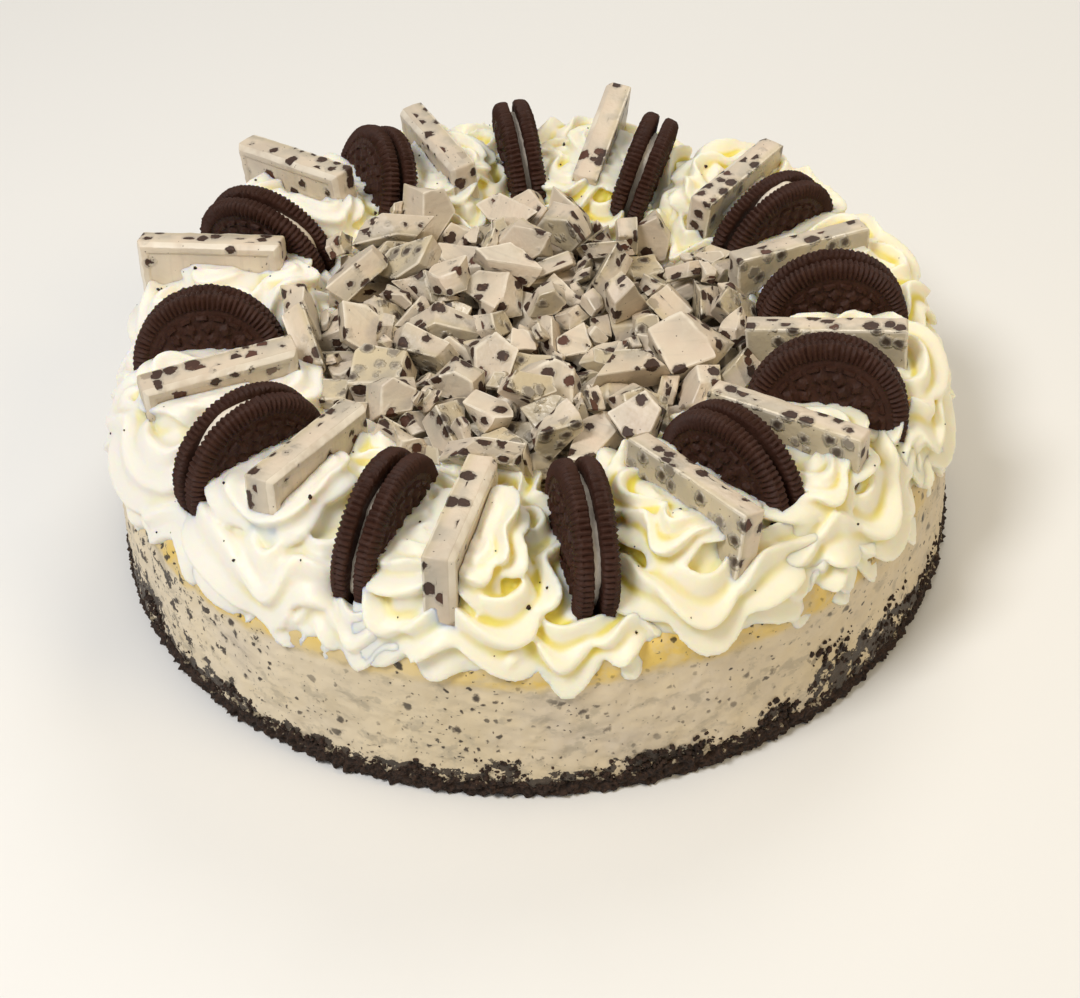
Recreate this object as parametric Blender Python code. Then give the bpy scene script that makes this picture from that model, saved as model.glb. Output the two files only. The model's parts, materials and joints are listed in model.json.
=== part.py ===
"""A baked cookies-and-cream cheesecake, whole, without its plate.

Dark crumb base, speckled baked filling, a ring of piped cream rosettes, twelve sandwich cookies and
twelve chocolate pieces standing in the cream, and a heap of broken chocolate in the middle.
Metres, +Z up. The origin is the middle of the cake's underside, and the front is towards -Y.
"""

import math
import random

import bmesh
import bpy
import numpy as np
from mathutils import Euler, Matrix, Vector

MM = 0.001
GAP = 0.3 * MM  # left between pieces that touch
SLOT_TOP = 40 * MM  # how far a standing piece's slot goes up from the piece's own height

# The cake, a ten-inch round
CAKE_RADIUS = 127 * MM
CAKE_HEIGHT = 50 * MM
SIDE_LEAN = 3 * MM  # how far the baked side has drawn in by its top edge
EDGE_ROUND = 8 * MM
BASE_HEIGHT = 8 * MM
BASE_EDGE = 9.5 * MM  # middle height of the crumb's upper edge at the side
BASE_WAVE = 2.4 * MM  # how uneven that edge is
BASE_LIP = 14 * MM  # width of the band where the unevenness fades out inwards
BASE_FOOT = (0.8 * MM, 1.5 * MM)  # how far the foot is drawn in, and up to what height
AROUND = 64

# The ring of piped cream: twelve rosettes run together, with scalloped folds one above another
LOBES = 46
LOBE_STEPS = 3  # two points on each lobe and one in the notch beside it
LOBE_FALL = 2.5 * MM  # how far the lowest fold's lobes hang below the notches between them
SEAT_DEPTH = 30 * MM  # how far down the cake is cut out of the ring
# The folds: how far out, how high over the cake, lobe, steps turned, and between two rosettes how far
# the fold is drawn back and how far it sinks
CREAM_FOLDS = (
    (123.0, -3.0, 1.5, 0, 4.0, 0.0),
    (127.4, 0.5, 2.2, 0, 5.0, 0.0),
    (122.0, 8.0, 1.0, 1, 4.0, 1.0),
    (122.5, 13.0, 2.4, 1, 5.0, 2.0),
    (114.0, 18.0, 1.0, 2, 4.0, 4.0),
    (111.5, 22.5, 2.2, 2, 5.0, 6.0),
    (101.0, 28.5, 1.2, 1, 2.0, 8.0),
    (88.0, 29.0, 1.2, 1, 0.0, 8.0),
    (77.0, 23.0, 1.4, 0, -2.0, 6.0),
    (66.5, 12.0, 1.2, 2, -1.0, 3.0),
    (62.8, 0.3, 0.0, 0, 0.0, 0.0),
)

# Sandwich cookies
COOKIE_DIAMETER = 45 * MM
COOKIE_THICKNESS = 10.5 * MM
COOKIE_CREAM = 2.1 * MM
COOKIE_CREAM_INSET = 1.2 * MM
COOKIE_SIDES = 24
COOKIE_CREAM_SIDES = 16
COOKIES = (  # place round the cake, distance out, height of the middle, turn, lean to the left
    (-83, 96, 62, 2, 4),
    (-54, 90, 62, 5, 0),
    (-31, 95, 65, 22, 14),
    (0, 90, 61, 0, 2),
    (31, 91, 60, 5, -8),
    (65, 92, 61, 8, -16),
    (90, 93, 62, 8, 4),
    (121, 94, 62, -9, -20),
    (149, 94, 63, 2, 10),
    (186, 93, 63, -5, -15),
    (217, 96, 64, 2, 3),
    (246, 96, 62, 0, 5),
)

# Moulded chocolate pieces that stand on a long edge
BAR_LENGTH = 45 * MM
BAR_HEIGHT = 27 * MM
BAR_THICKNESS = 8.4 * MM
BAR_CHAMFER = 1.6 * MM
BAR_FRAME = 3.5 * MM
BAR_PANEL_DEPTH = 0.4 * MM
BARS = (  # place round the cake, distance out, height of the top edge, turn, lean, rise of the outer end
    (-64, 96, 77, 11, 10, 2),
    (-43, 94, 79, 10, 2, 0),
    (-18, 88, 80, 7, 0, 4),
    (14, 85, 77, 9, 1, -2),
    (42, 92, 77, 11, -7, -1),
    (73, 93, 78, 1, -10, 14),
    (107, 94, 78, 7, 4, 0),
    (134, 105, 81, 6, 1, -4),
    (161, 101, 78, 10, -9, -1),
    (199, 92, 77, 0, 5, -2),
    (229, 90, 79, 10, -4, 7),
    (259, 97, 77, -4, 1, 4),
)

# The heap of broken chocolate
HEAP_RADIUS = 62 * MM
HEAP_EDGE = 14 * MM  # height of its edge over the cake
HEAP_CROWN = 22 * MM
HEAP_BED = 3 * MM  # how far the core lies inside the shards
HEAP_SHOULDER = 9 * MM  # the same at the core's rim
HEAP_SIDES = 24
SHARDS = 72
SHARD_LEAST = 6 * MM  # smallest and largest reach of a shard from its middle
SHARD_MOST = 12 * MM
SHARD_UNEVEN = 0.28  # how far a corner strays from its even place, as a share of a side
SHARD_SHORTEST = 0.62  # smallest reach of a corner, as a share of the largest
SHARD_TAPER = (0.78, 0.98)  # upper face as a share of the lower one
SHARD_DROP = 1.2 * MM  # how much lower a corner of the upper face may lie
SHARD_TILT = 0.38  # radians
SHARD_LIFT = 2 * MM  # how far a shard lies above or below the heap's surface
SHARD_SEED = 7

CREAM_COLOUR = (0.93, 0.87, 0.60)
FILLING_COLOUR = (0.60, 0.53, 0.38)
CRUMB_COLOUR = (0.014, 0.009, 0.008)
WAFER_COLOUR = (0.020, 0.011, 0.009)
COOKIE_CREAM_COLOUR = (0.78, 0.70, 0.60)
CHOCOLATE_COLOUR = (0.47, 0.39, 0.30)


def clear_scene():
    for obj in list(bpy.data.objects):
        bpy.data.objects.remove(obj)


def make_material(name, colour, roughness):
    material = bpy.data.materials.new(name)
    material.use_nodes = True
    shader = material.node_tree.nodes["Principled BSDF"]
    shader.inputs["Base Color"].default_value = (*colour, 1)
    shader.inputs["Roughness"].default_value = roughness
    shader.inputs["Metallic"].default_value = 0.0
    return material


def make_mesh(name, points, faces):
    mesh = bpy.data.meshes.new(name)
    mesh.from_pydata([tuple(p) for p in points], [], [tuple(f) for f in faces])
    return mesh


def make_object(name, mesh, material=None, collection=None):
    obj = bpy.data.objects.new(name, mesh)
    (collection or bpy.context.scene.collection).objects.link(obj)
    if material and not mesh.materials:
        mesh.materials.append(material)
    return obj


def smooth(mesh, degrees=35):
    mesh.shade_smooth()
    mesh.set_sharp_from_angle(angle=math.radians(degrees))


def stacked_rings(rings, split=None):
    """Points and faces of a closed body from rings of equal length, lowest first, each counter-clockwise.

    With split, each four-sided patch is two triangles, parted by the line from its lower corner forward to
    its upper one, or back, so that two bodies that meet along a bent band are parted alike.
    """
    count = len(rings[0])
    points = np.concatenate(rings)
    faces = [tuple(range(count))[::-1]]
    for level in range(len(rings) - 1):
        low = level * count
        high = low + count
        for i in range(count):
            j = (i + 1) % count
            if split == "forward":
                faces += [(low + i, low + j, high + j), (low + i, high + j, high + i)]
            elif split == "back":
                faces += [(low + i, low + j, high + i), (low + j, high + j, high + i)]
            else:
                faces.append((low + i, low + j, high + j, high + i))
    last = (len(rings) - 1) * count
    faces.append(tuple(range(last, last + count)))
    return points, faces


def circle(radius, height, sides=AROUND):
    """A ring of points. The radius and the height may be numbers or one value for each point."""
    angles = np.arange(sides) * 2 * math.pi / sides
    return np.stack(
        [radius * np.cos(angles), radius * np.sin(angles), height + 0 * angles],
        axis=1,
    )


def crumb_edge():
    """Height of the crumb's upper edge at each point round the side: slow waves with finer ones on them."""
    angles = np.arange(AROUND) * 2 * math.pi / AROUND
    wave = np.sin(5 * angles + 0.6) + 0.7 * np.sin(11 * angles + 2.0) + 0.5 * np.sin(19 * angles)
    return BASE_EDGE + BASE_WAVE * wave / 2.2


def side_radius(height):
    return CAKE_RADIUS - SIDE_LEAN * height / CAKE_HEIGHT


def make_crumb_base(material):
    edge = crumb_edge()
    drawn_in, foot_height = BASE_FOOT
    rings = [
        circle(CAKE_RADIUS - drawn_in, 0.0),
        circle(CAKE_RADIUS, foot_height),
        circle(side_radius(edge), edge),
        circle(CAKE_RADIUS - BASE_LIP, BASE_HEIGHT),
    ]
    mesh = make_mesh("crumb_base", *stacked_rings(rings, "back"))
    smooth(mesh)
    return make_object("crumb_base", mesh, material)


def filling_shoulder(out=0.0):
    """Rings of the filling's rounded top edge, moved outwards by a distance."""
    rings = []
    for turn in (0, 45, 90):
        angle = math.radians(turn)
        radius = side_radius(CAKE_HEIGHT) - EDGE_ROUND + (EDGE_ROUND + out) * math.cos(angle)
        height = CAKE_HEIGHT - EDGE_ROUND + (EDGE_ROUND + out) * math.sin(angle)
        rings.append(circle(radius, height))
    return rings


def make_cheese_filling(material, slots):
    edge = crumb_edge() + GAP
    rings = [
        circle(CAKE_RADIUS - BASE_LIP, BASE_HEIGHT + GAP),
        circle(side_radius(edge), edge),
        *filling_shoulder(),
    ]
    mesh = make_mesh("cheese_filling", *stacked_rings(rings, "forward"))
    filling = make_object("cheese_filling", mesh, material)
    cut(filling, slots)
    keep_largest_body(filling)
    smooth(filling.data)
    return filling


def standing_matrix(place, out, height, turn, lean, rise=0.0):
    """Where a standing piece goes. Its X runs outwards, its Y round the cake and its Z up."""
    angle = math.radians(place)
    centre = Vector((out * MM * math.cos(angle), out * MM * math.sin(angle), height * MM))
    heading = Matrix.Rotation(angle + math.radians(turn), 4, "Z")
    tip = Matrix.Rotation(-math.radians(lean), 4, "X") @ Matrix.Rotation(-math.radians(rise), 4, "Y")
    return Matrix.Translation(centre) @ heading @ tip


def disc_mesh(name, radius, thickness, sides):
    """A short cylinder round the local Y axis."""
    ring = circle(radius, -thickness / 2, sides)
    points, faces = stacked_rings([ring, ring + (0, 0, thickness)])
    mesh = make_mesh(name, points, faces)
    mesh.transform(Matrix.Rotation(math.radians(-90), 4, "X"))
    smooth(mesh)
    return mesh


def make_cookies(wafer_material, cream_material):
    wafer_thickness = (COOKIE_THICKNESS - COOKIE_CREAM) / 2 - GAP
    wafer = disc_mesh("wafer", COOKIE_DIAMETER / 2, wafer_thickness, COOKIE_SIDES)
    cream_radius = COOKIE_DIAMETER / 2 - COOKIE_CREAM_INSET
    cream = disc_mesh("cookie_cream", cream_radius, COOKIE_CREAM, COOKIE_CREAM_SIDES)
    offset = COOKIE_CREAM / 2 + GAP + wafer_thickness / 2
    for number, placing in enumerate(COOKIES, start=1):
        holder = bpy.data.objects.new(f"cookie_{number:02d}", None)
        bpy.context.scene.collection.objects.link(holder)
        holder.matrix_world = standing_matrix(*placing)
        layers = (
            ("left_wafer", wafer, wafer_material, offset),
            ("cream", cream, cream_material, 0.0),
            ("right_wafer", wafer, wafer_material, -offset),
        )
        for layer, mesh, material, across in layers:
            piece = make_object(f"cookie_{number:02d}_{layer}", mesh, material)
            piece.parent = holder
            piece.location = (0, across, 0)


def bar_mesh():
    """A flat-backed block whose moulded face, on the left, has chamfered edges and a sunk panel."""
    mesh = bpy.data.meshes.new("chocolate_bar")
    build = bmesh.new()
    size = Matrix.Diagonal((BAR_LENGTH, BAR_THICKNESS, BAR_HEIGHT, 1))
    down = Matrix.Translation((0, 0, -BAR_HEIGHT / 2))
    bmesh.ops.create_cube(build, size=1.0, matrix=down @ size)
    face = max(build.faces, key=lambda f: f.calc_center_median().y)
    bmesh.ops.inset_region(build, faces=[face], thickness=BAR_CHAMFER, use_even_offset=True)
    bmesh.ops.translate(build, verts=[v for v in build.verts if v not in face.verts and v.co.y > 0],
                        vec=(0, -BAR_CHAMFER, 0))
    bmesh.ops.inset_region(build, faces=[face], thickness=BAR_FRAME, use_even_offset=True)
    bmesh.ops.inset_region(build, faces=[face], thickness=BAR_PANEL_DEPTH, depth=-BAR_PANEL_DEPTH)
    bmesh.ops.recalc_face_normals(build, faces=build.faces)
    build.to_mesh(mesh)
    build.free()
    return mesh


def make_bars(material):
    mesh = bar_mesh()
    for number, placing in enumerate(BARS, start=1):
        bar = make_object(f"chocolate_piece_{number:02d}", mesh, material)
        bar.matrix_world = standing_matrix(*placing)


def helper_collection(name):
    collection = bpy.data.collections.new(name)
    collection.hide_render = True
    bpy.context.scene.collection.children.link(collection)
    return collection


def make_slots():
    """Cutters shaped like the standing pieces with their clearance, carried up past the cream."""
    slots = helper_collection("slots")
    radius = COOKIE_DIAMETER / 2 + GAP
    half = COOKIE_THICKNESS / 2 + GAP
    lower = [math.pi + 2 * math.pi * step / COOKIE_SIDES for step in range(COOKIE_SIDES // 2 + 1)]
    outline = [(radius * math.cos(a), radius * math.sin(a)) for a in lower]
    outline += [(radius, SLOT_TOP), (-radius, SLOT_TOP)]
    near = np.array([(x, -half, z) for x, z in outline])
    cookie_slot = make_mesh("cookie_slot", *stacked_rings([near, near + (0, 2 * half, 0)]))
    face_outwards(cookie_slot)
    for number, placing in enumerate(COOKIES, start=1):
        cutter = make_object(f"cookie_slot_{number:02d}", cookie_slot, collection=slots)
        cutter.matrix_world = standing_matrix(*placing)
        cutter.display_type = "WIRE"
        cutter.hide_render = True
    x = BAR_LENGTH / 2 + GAP
    y = BAR_THICKNESS / 2 + GAP
    corners = np.array([(x, -y, 0), (x, y, 0), (-x, y, 0), (-x, -y, 0)])
    bottom = corners - (0, 0, BAR_HEIGHT + GAP)
    bar_slot = make_mesh("bar_slot", *stacked_rings([bottom, corners + (0, 0, SLOT_TOP)]))
    for number, placing in enumerate(BARS, start=1):
        cutter = make_object(f"bar_slot_{number:02d}", bar_slot, collection=slots)
        cutter.matrix_world = standing_matrix(*placing)
        cutter.display_type = "WIRE"
        cutter.hide_render = True
    return slots


def face_outwards(mesh):
    build = bmesh.new()
    build.from_mesh(mesh)
    bmesh.ops.recalc_face_normals(build, faces=build.faces)
    build.to_mesh(mesh)
    build.free()


def apply_boolean(obj, collection, operation):
    modifier = obj.modifiers.new(operation.lower(), "BOOLEAN")
    modifier.operation = operation
    modifier.operand_type = "COLLECTION"
    modifier.collection = collection
    modifier.solver = "MANIFOLD"
    bpy.context.view_layer.update()
    result = obj.evaluated_get(bpy.context.evaluated_depsgraph_get())
    mesh = bpy.data.meshes.new_from_object(result)
    obj.modifiers.clear()
    obj.data = mesh


def cut(obj, collection):
    apply_boolean(obj, collection, "DIFFERENCE")


def join(obj, collection):
    apply_boolean(obj, collection, "UNION")
    for other in list(collection.objects):
        bpy.data.objects.remove(other)


def keep_largest_body(obj):
    """Drops the loose scraps that joining and cutting leave."""
    build = bmesh.new()
    build.from_mesh(obj.data)
    left = set(build.faces)
    bodies = []
    while left:
        body = {left.pop()}
        front = list(body)
        while front:
            edges = [edge for edge in front.pop().edges if len(edge.link_faces) == 2]
            near = {face for edge in edges for face in edge.link_faces} & left
            left -= near
            body |= near
            front.extend(near)
        bodies.append(body)
    largest = max(bodies, key=len)
    scraps = [face for body in bodies if body is not largest for face in body]
    bmesh.ops.delete(build, geom=scraps, context="FACES")
    build.to_mesh(obj.data)
    build.free()


def closed_band(sections):
    """Points and faces of a ring-shaped body from closed sections, each running out, up and back in."""
    steps, count = sections.shape[:2]
    faces = []
    for step in range(steps):
        here = step * count
        there = (step + 1) % steps * count
        for i in range(count):
            j = (i + 1) % count
            faces.append((here + i, there + i, there + j, here + j))
    return sections.reshape(-1, 3), faces


def between_rosettes(angles):
    """0 over the middle of each rosette, at the chocolate pieces, and 1 halfway between two of them."""
    middles = np.radians([bar[0] for bar in BARS])
    middles = np.append(middles, middles[0] + 2 * math.pi)
    turned = (angles - middles[0]) % (2 * math.pi) + middles[0]
    phase = np.interp(turned, middles, np.arange(len(middles)))
    return 0.5 - 0.5 * np.cos(2 * math.pi * phase)


def make_whipped_cream(material, slots):
    steps = LOBES * LOBE_STEPS
    angles = np.arange(steps) * 2 * math.pi / steps
    gap = between_rosettes(angles)
    sections = []
    for number, (out, over, lobe, turned, back, sunk) in enumerate(CREAM_FOLDS):
        wave = np.cos(LOBES * angles + math.pi * (1 + 2 * turned) / LOBE_STEPS)
        radius = (out + lobe * wave - back * gap) * MM
        height = CAKE_HEIGHT + (over - sunk * gap) * MM
        if number < 2:
            height = height - LOBE_FALL * wave
        sections.append(np.stack([radius * np.cos(angles), radius * np.sin(angles), height], axis=1))
    points, faces = closed_band(np.stack(sections, axis=1))
    cream = make_object("whipped_cream", make_mesh("whipped_cream", points, faces), material)
    seats = helper_collection("seats")
    rings = [circle(CAKE_RADIUS + GAP, CAKE_HEIGHT - SEAT_DEPTH), *filling_shoulder(GAP)]
    make_object("cake_seat", make_mesh("cake_seat", *stacked_rings(rings)), collection=seats)
    cut(cream, seats)
    bpy.data.objects.remove(seats.objects[0])
    cut(cream, slots)
    keep_largest_body(cream)
    cream.data.materials.clear()
    cream.data.materials.append(material)
    smooth(cream.data, 50)
    return cream


def heap_height(radius):
    """Height over the cake of the heap's core: a low dome on a raised edge."""
    return HEAP_EDGE + (HEAP_CROWN - HEAP_EDGE) * (1 - (radius / HEAP_RADIUS) ** 2)


def shard_mesh(name, draw):
    """A broken flat-sided slab: an uneven polygon with few corners and a smaller upper face."""
    corners = draw.choice((4, 4, 5, 5, 6))
    stray = [draw.uniform(-SHARD_UNEVEN, SHARD_UNEVEN) for _ in range(corners)]
    angles = 2 * math.pi / corners * (np.arange(corners) + stray)
    size = draw.uniform(SHARD_LEAST, SHARD_MOST)
    reach = np.array([size * draw.uniform(SHARD_SHORTEST, 1.0) for _ in range(corners)])
    bottom = np.full(corners, -BAR_THICKNESS / 2)
    low = np.stack([reach * np.cos(angles), reach * np.sin(angles), bottom], axis=1)
    high = low * (draw.uniform(*SHARD_TAPER), draw.uniform(*SHARD_TAPER), -1)
    high[:, 2] -= draw.uniform(-SHARD_DROP / 2, SHARD_DROP)
    return make_mesh(name, *stacked_rings([low, high]))


def make_chocolate_heap(material):
    """A smooth core with overlapping slabs joined to it, spread over it by the golden angle."""
    core_radius = HEAP_RADIUS - HEAP_BED
    rings = [circle(core_radius, CAKE_HEIGHT + GAP, HEAP_SIDES)]
    for share, bed in ((0.98, HEAP_SHOULDER), (0.9, HEAP_BED), (0.6, HEAP_BED), (0.3, HEAP_BED)):
        radius = share * core_radius
        rings.append(circle(radius, CAKE_HEIGHT + heap_height(radius) - bed, HEAP_SIDES))
    heap = make_object("chocolate_heap", make_mesh("chocolate_heap", *stacked_rings(rings)), material)
    draw = random.Random(SHARD_SEED)
    golden = math.pi * (3 - math.sqrt(5))
    shards = helper_collection("shards")
    for number in range(SHARDS):
        mesh = shard_mesh(f"shard_{number:02d}", draw)
        tilts = (draw.gauss(0, SHARD_TILT), draw.gauss(0, SHARD_TILT), draw.uniform(0, 2 * math.pi))
        mesh.transform(Euler(tilts).to_matrix().to_4x4())
        points = np.array([v.co[:] for v in mesh.vertices])
        spread = core_radius * math.sqrt((number + 0.5) / SHARDS)
        spread = min(spread, HEAP_RADIUS - np.hypot(points[:, 0], points[:, 1]).max())
        angle = number * golden
        place = Vector((spread * math.cos(angle), spread * math.sin(angle), 0))
        place.z = CAKE_HEIGHT + heap_height(spread) + draw.uniform(-SHARD_LIFT, SHARD_LIFT)
        mesh.transform(Matrix.Translation(place))
        make_object(f"shard_{number:02d}", mesh, collection=shards)
    join(heap, shards)
    keep_largest_body(heap)
    heap.data.materials.clear()
    heap.data.materials.append(material)
    return heap


def main():
    clear_scene()
    chocolate = make_material("chocolate", CHOCOLATE_COLOUR, 0.4)
    slots = make_slots()
    make_crumb_base(make_material("crumb", CRUMB_COLOUR, 0.9))
    make_cheese_filling(make_material("filling", FILLING_COLOUR, 0.55), slots)
    make_whipped_cream(make_material("cream", CREAM_COLOUR, 0.5), slots)
    make_chocolate_heap(chocolate)
    make_bars(chocolate)
    make_cookies(
        make_material("wafer", WAFER_COLOUR, 0.75),
        make_material("cookie_cream", COOKIE_CREAM_COLOUR, 0.6),
    )


main()
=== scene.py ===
"""The finish of a baked cookies-and-cream cheesecake: crumb base, speckled filling, piped cream, sandwich
cookies, chocolate pieces and a heap of broken chocolate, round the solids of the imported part.

Metres, +Z up, in the part's own frame: the origin is the middle of the underside, the front towards -Y.
"""

import json
import math

import bmesh
import bpy
import numpy as np
from bpy.props import FloatProperty, FloatVectorProperty, IntProperty, PointerProperty
from mathutils import Matrix, Vector

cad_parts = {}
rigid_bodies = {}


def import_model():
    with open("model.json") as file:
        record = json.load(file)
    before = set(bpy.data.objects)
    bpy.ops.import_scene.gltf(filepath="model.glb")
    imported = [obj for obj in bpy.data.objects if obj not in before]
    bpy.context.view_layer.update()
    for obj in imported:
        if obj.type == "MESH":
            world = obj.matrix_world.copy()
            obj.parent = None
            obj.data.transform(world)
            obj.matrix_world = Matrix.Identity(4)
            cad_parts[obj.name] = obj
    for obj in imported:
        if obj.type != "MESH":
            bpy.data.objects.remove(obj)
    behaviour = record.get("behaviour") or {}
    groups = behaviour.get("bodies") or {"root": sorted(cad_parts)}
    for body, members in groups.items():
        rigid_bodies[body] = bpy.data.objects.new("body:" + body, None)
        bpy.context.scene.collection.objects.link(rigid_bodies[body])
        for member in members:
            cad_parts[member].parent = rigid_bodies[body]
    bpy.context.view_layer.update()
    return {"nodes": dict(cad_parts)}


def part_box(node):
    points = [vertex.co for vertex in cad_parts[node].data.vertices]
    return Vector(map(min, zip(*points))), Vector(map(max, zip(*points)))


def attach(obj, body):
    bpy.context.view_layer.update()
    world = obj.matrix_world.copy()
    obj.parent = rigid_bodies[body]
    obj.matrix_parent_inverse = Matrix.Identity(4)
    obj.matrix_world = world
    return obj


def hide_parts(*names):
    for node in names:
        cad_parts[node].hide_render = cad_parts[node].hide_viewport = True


bl_info = {
    "name": "Cookies-and-cream cheesecake",
    "version": (1, 0, 0),
    "blender": (4, 5, 0),
    "location": "3D View > Sidebar > Cheesecake",
    "description": "Dresses the cheesecake's solids with cream, crumbs, cookies and broken chocolate",
    "category": "Object",
}

MM = 0.001
SEED = 11

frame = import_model()


def read_rows(items, field, width, kind=np.float32):
    """One field of every item of a mesh's list, as rows of width numbers."""
    values = np.empty(len(items) * width, kind)
    items.foreach_get(field, values)
    return values.reshape(-1, width)


def mesh_points(mesh):
    return read_rows(mesh.vertices, "co", 3).astype(float)


def mesh_normals(mesh):
    return read_rows(mesh.vertex_normals, "vector", 3).astype(float)


def edge_ends(mesh):
    """The point numbers of the starts and of the ends of a mesh's edges."""
    return read_rows(mesh.edges, "vertices", 2, np.int32).T


def node_points(name):
    """The separate corner points of a solid."""
    return np.unique(np.round(mesh_points(frame["nodes"][name].data), 6), axis=0)


def round_angles(count):
    """Angles evenly spaced round a whole turn."""
    return np.arange(count) * 2 * math.pi / count


def unit(vectors):
    return vectors / np.linalg.norm(vectors, axis=-1, keepdims=True)


def outward(point):
    """The level direction away from the cake's middle."""
    return unit(np.array([point[0], point[1], 0.0]))


def numbered(start, end=""):
    return sorted(name for name in frame["nodes"] if name.startswith(start) and name.endswith(end))


def bar_placing(name):
    """Middle, half sizes and axes of a chocolate piece: X out along it, Y through its moulded face, Z up.

    The axes are the directions in which its points spread most, least and second most.
    """
    points = node_points(name)
    least, second, most = np.linalg.eigh(np.cov(points.T))[1].T
    x = most * np.sign(most @ outward(points.mean(0)))
    z = second * np.sign(second[2])
    axes = np.array([x, np.cross(z, x), z])
    local = points @ axes.T
    low, high = local.min(0), local.max(0)
    return axes.T @ ((low + high) / 2), (high - low) / 2, axes


def disc_placing(name, beside):
    """Middle, radius, half thickness and axes of a round layer, its Y pointing away from another layer."""
    points = node_points(name)
    centre = (points.min(0) + points.max(0)) / 2
    y = np.linalg.eigh(np.cov(points.T))[1].T[0]
    y = y * np.sign(y @ (centre - node_points(beside).mean(0)))
    x = outward(centre)
    x = unit(x - (x @ y) * y)
    axes = np.array([x, y, np.cross(x, y)])
    local = (points - points.mean(0)) @ axes.T
    return points.mean(0), np.hypot(local[:, 0], local[:, 2]).max(), np.abs(local[:, 1]).max(), axes


BAR_NODES = numbered("chocolate_piece_")
COOKIE_CREAM_NODES = numbered("cookie_", "_cream")
FILLING_LOW, FILLING_HIGH = (np.array(corner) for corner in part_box("cheese_filling"))
BASE_LOW, BASE_HIGH = (np.array(corner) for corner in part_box("crumb_base"))
CAKE_RADIUS = BASE_HIGH[0]
CAKE_TOP = FILLING_HIGH[2]
HEAP_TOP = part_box("chocolate_heap")[1][2]
SIDE_LEAN = 3 * MM  # how far the baked side has drawn in by its top
EDGE_ROUND = 8 * MM
SEAM_DEPTH = 14 * MM  # how far in from the side the base's top and the filling's underside become level


class CheesecakeSizes(bpy.types.PropertyGroup):
    """Sizes of the visible surfaces."""

    cream_voxel: FloatProperty(
        name="Cream voxel", description="Grain of the mesh that joins a rosette's folds",
        default=0.75 * MM, min=0.4 * MM, subtype="DISTANCE", unit="LENGTH")
    cream_middle: FloatProperty(
        name="Rosette distance", description="How far out the middle of a rosette is",
        default=94 * MM, subtype="DISTANCE", unit="LENGTH")
    crumb_edge: FloatProperty(
        name="Crumb edge", description="Middle height of the base's upper edge at the side",
        default=7.3 * MM, subtype="DISTANCE", unit="LENGTH")
    cookie_teeth: IntProperty(name="Cookie teeth", description="Teeth round a wafer's edge", default=84)
    shard_count: IntProperty(name="Shards", description="Broken pieces in the heap", default=330)
    crumb_count: IntProperty(name="Crumbs", description="Loose crumbs on the cake's side", default=2600)


def colour_setting(name, description, default):
    return FloatVectorProperty(name=name, description=description, default=default, size=3, subtype="COLOR")


class CheesecakeColours(bpy.types.PropertyGroup):
    """Main colours of the finishes."""

    cream: colour_setting("Cream", "Whipped cream in the light", (0.90, 0.855, 0.70))
    # The fold colour is painted shade: the yellow that the cream takes in its creases.
    cream_fold_shade: colour_setting("Cream folds", "Whipped cream deep in its folds", (0.83, 0.72, 0.12))
    filling: colour_setting("Filling", "Baked filling at the side", (0.61, 0.51, 0.345))
    golden: colour_setting("Baked edge", "Filling where it browned along its top", (0.73, 0.52, 0.13))
    crumb: colour_setting("Crumb", "Dark cookie crumb", (0.023, 0.0120, 0.0075))
    wafer: colour_setting("Wafer", "Dark cookie wafer", (0.034, 0.0115, 0.0062))
    chocolate: colour_setting("Chocolate", "White chocolate with cookie bits", (0.64, 0.56, 0.44))


def settings(context):
    return context.scene.cheesecake_sizes, context.scene.cheesecake_colours


def assign(target, **values):
    """Sets several of a thing's properties, in the order given."""
    for name, value in values.items():
        setattr(target, name, value)
    return target


class Value:
    """One value in a shader. Arithmetic on it adds a Math node."""

    def __init__(self, shader, socket):
        self.shader = shader
        self.socket = socket

    def math(self, operation, *others, clamp=False):
        settings = {"operation": operation, "use_clamp": clamp}
        return self.shader.node("ShaderNodeMath", settings, dict(enumerate((self, *others))))

    def __add__(self, other):
        return self.math("ADD", other)

    def __mul__(self, other):
        return self.math("MULTIPLY", other)

    def __sub__(self, other):
        return self.math("SUBTRACT", other)

    def __rsub__(self, other):
        settings = {"operation": "SUBTRACT"}
        return self.shader.node("ShaderNodeMath", settings, {0: other, 1: self})

    __radd__ = __add__
    __rmul__ = __mul__

    def clamped(self):
        return self.math("ADD", 0.0, clamp=True)

    def larger(self, other):
        return self.math("MAXIMUM", other)

    def step(self, start, end):
        """0 up to start, 1 from end, smooth between them."""
        settings = {"interpolation_type": "SMOOTHSTEP"}
        inputs = {"Value": self, "From Min": start, "From Max": end}
        return self.shader.node("ShaderNodeMapRange", settings, inputs)


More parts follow.
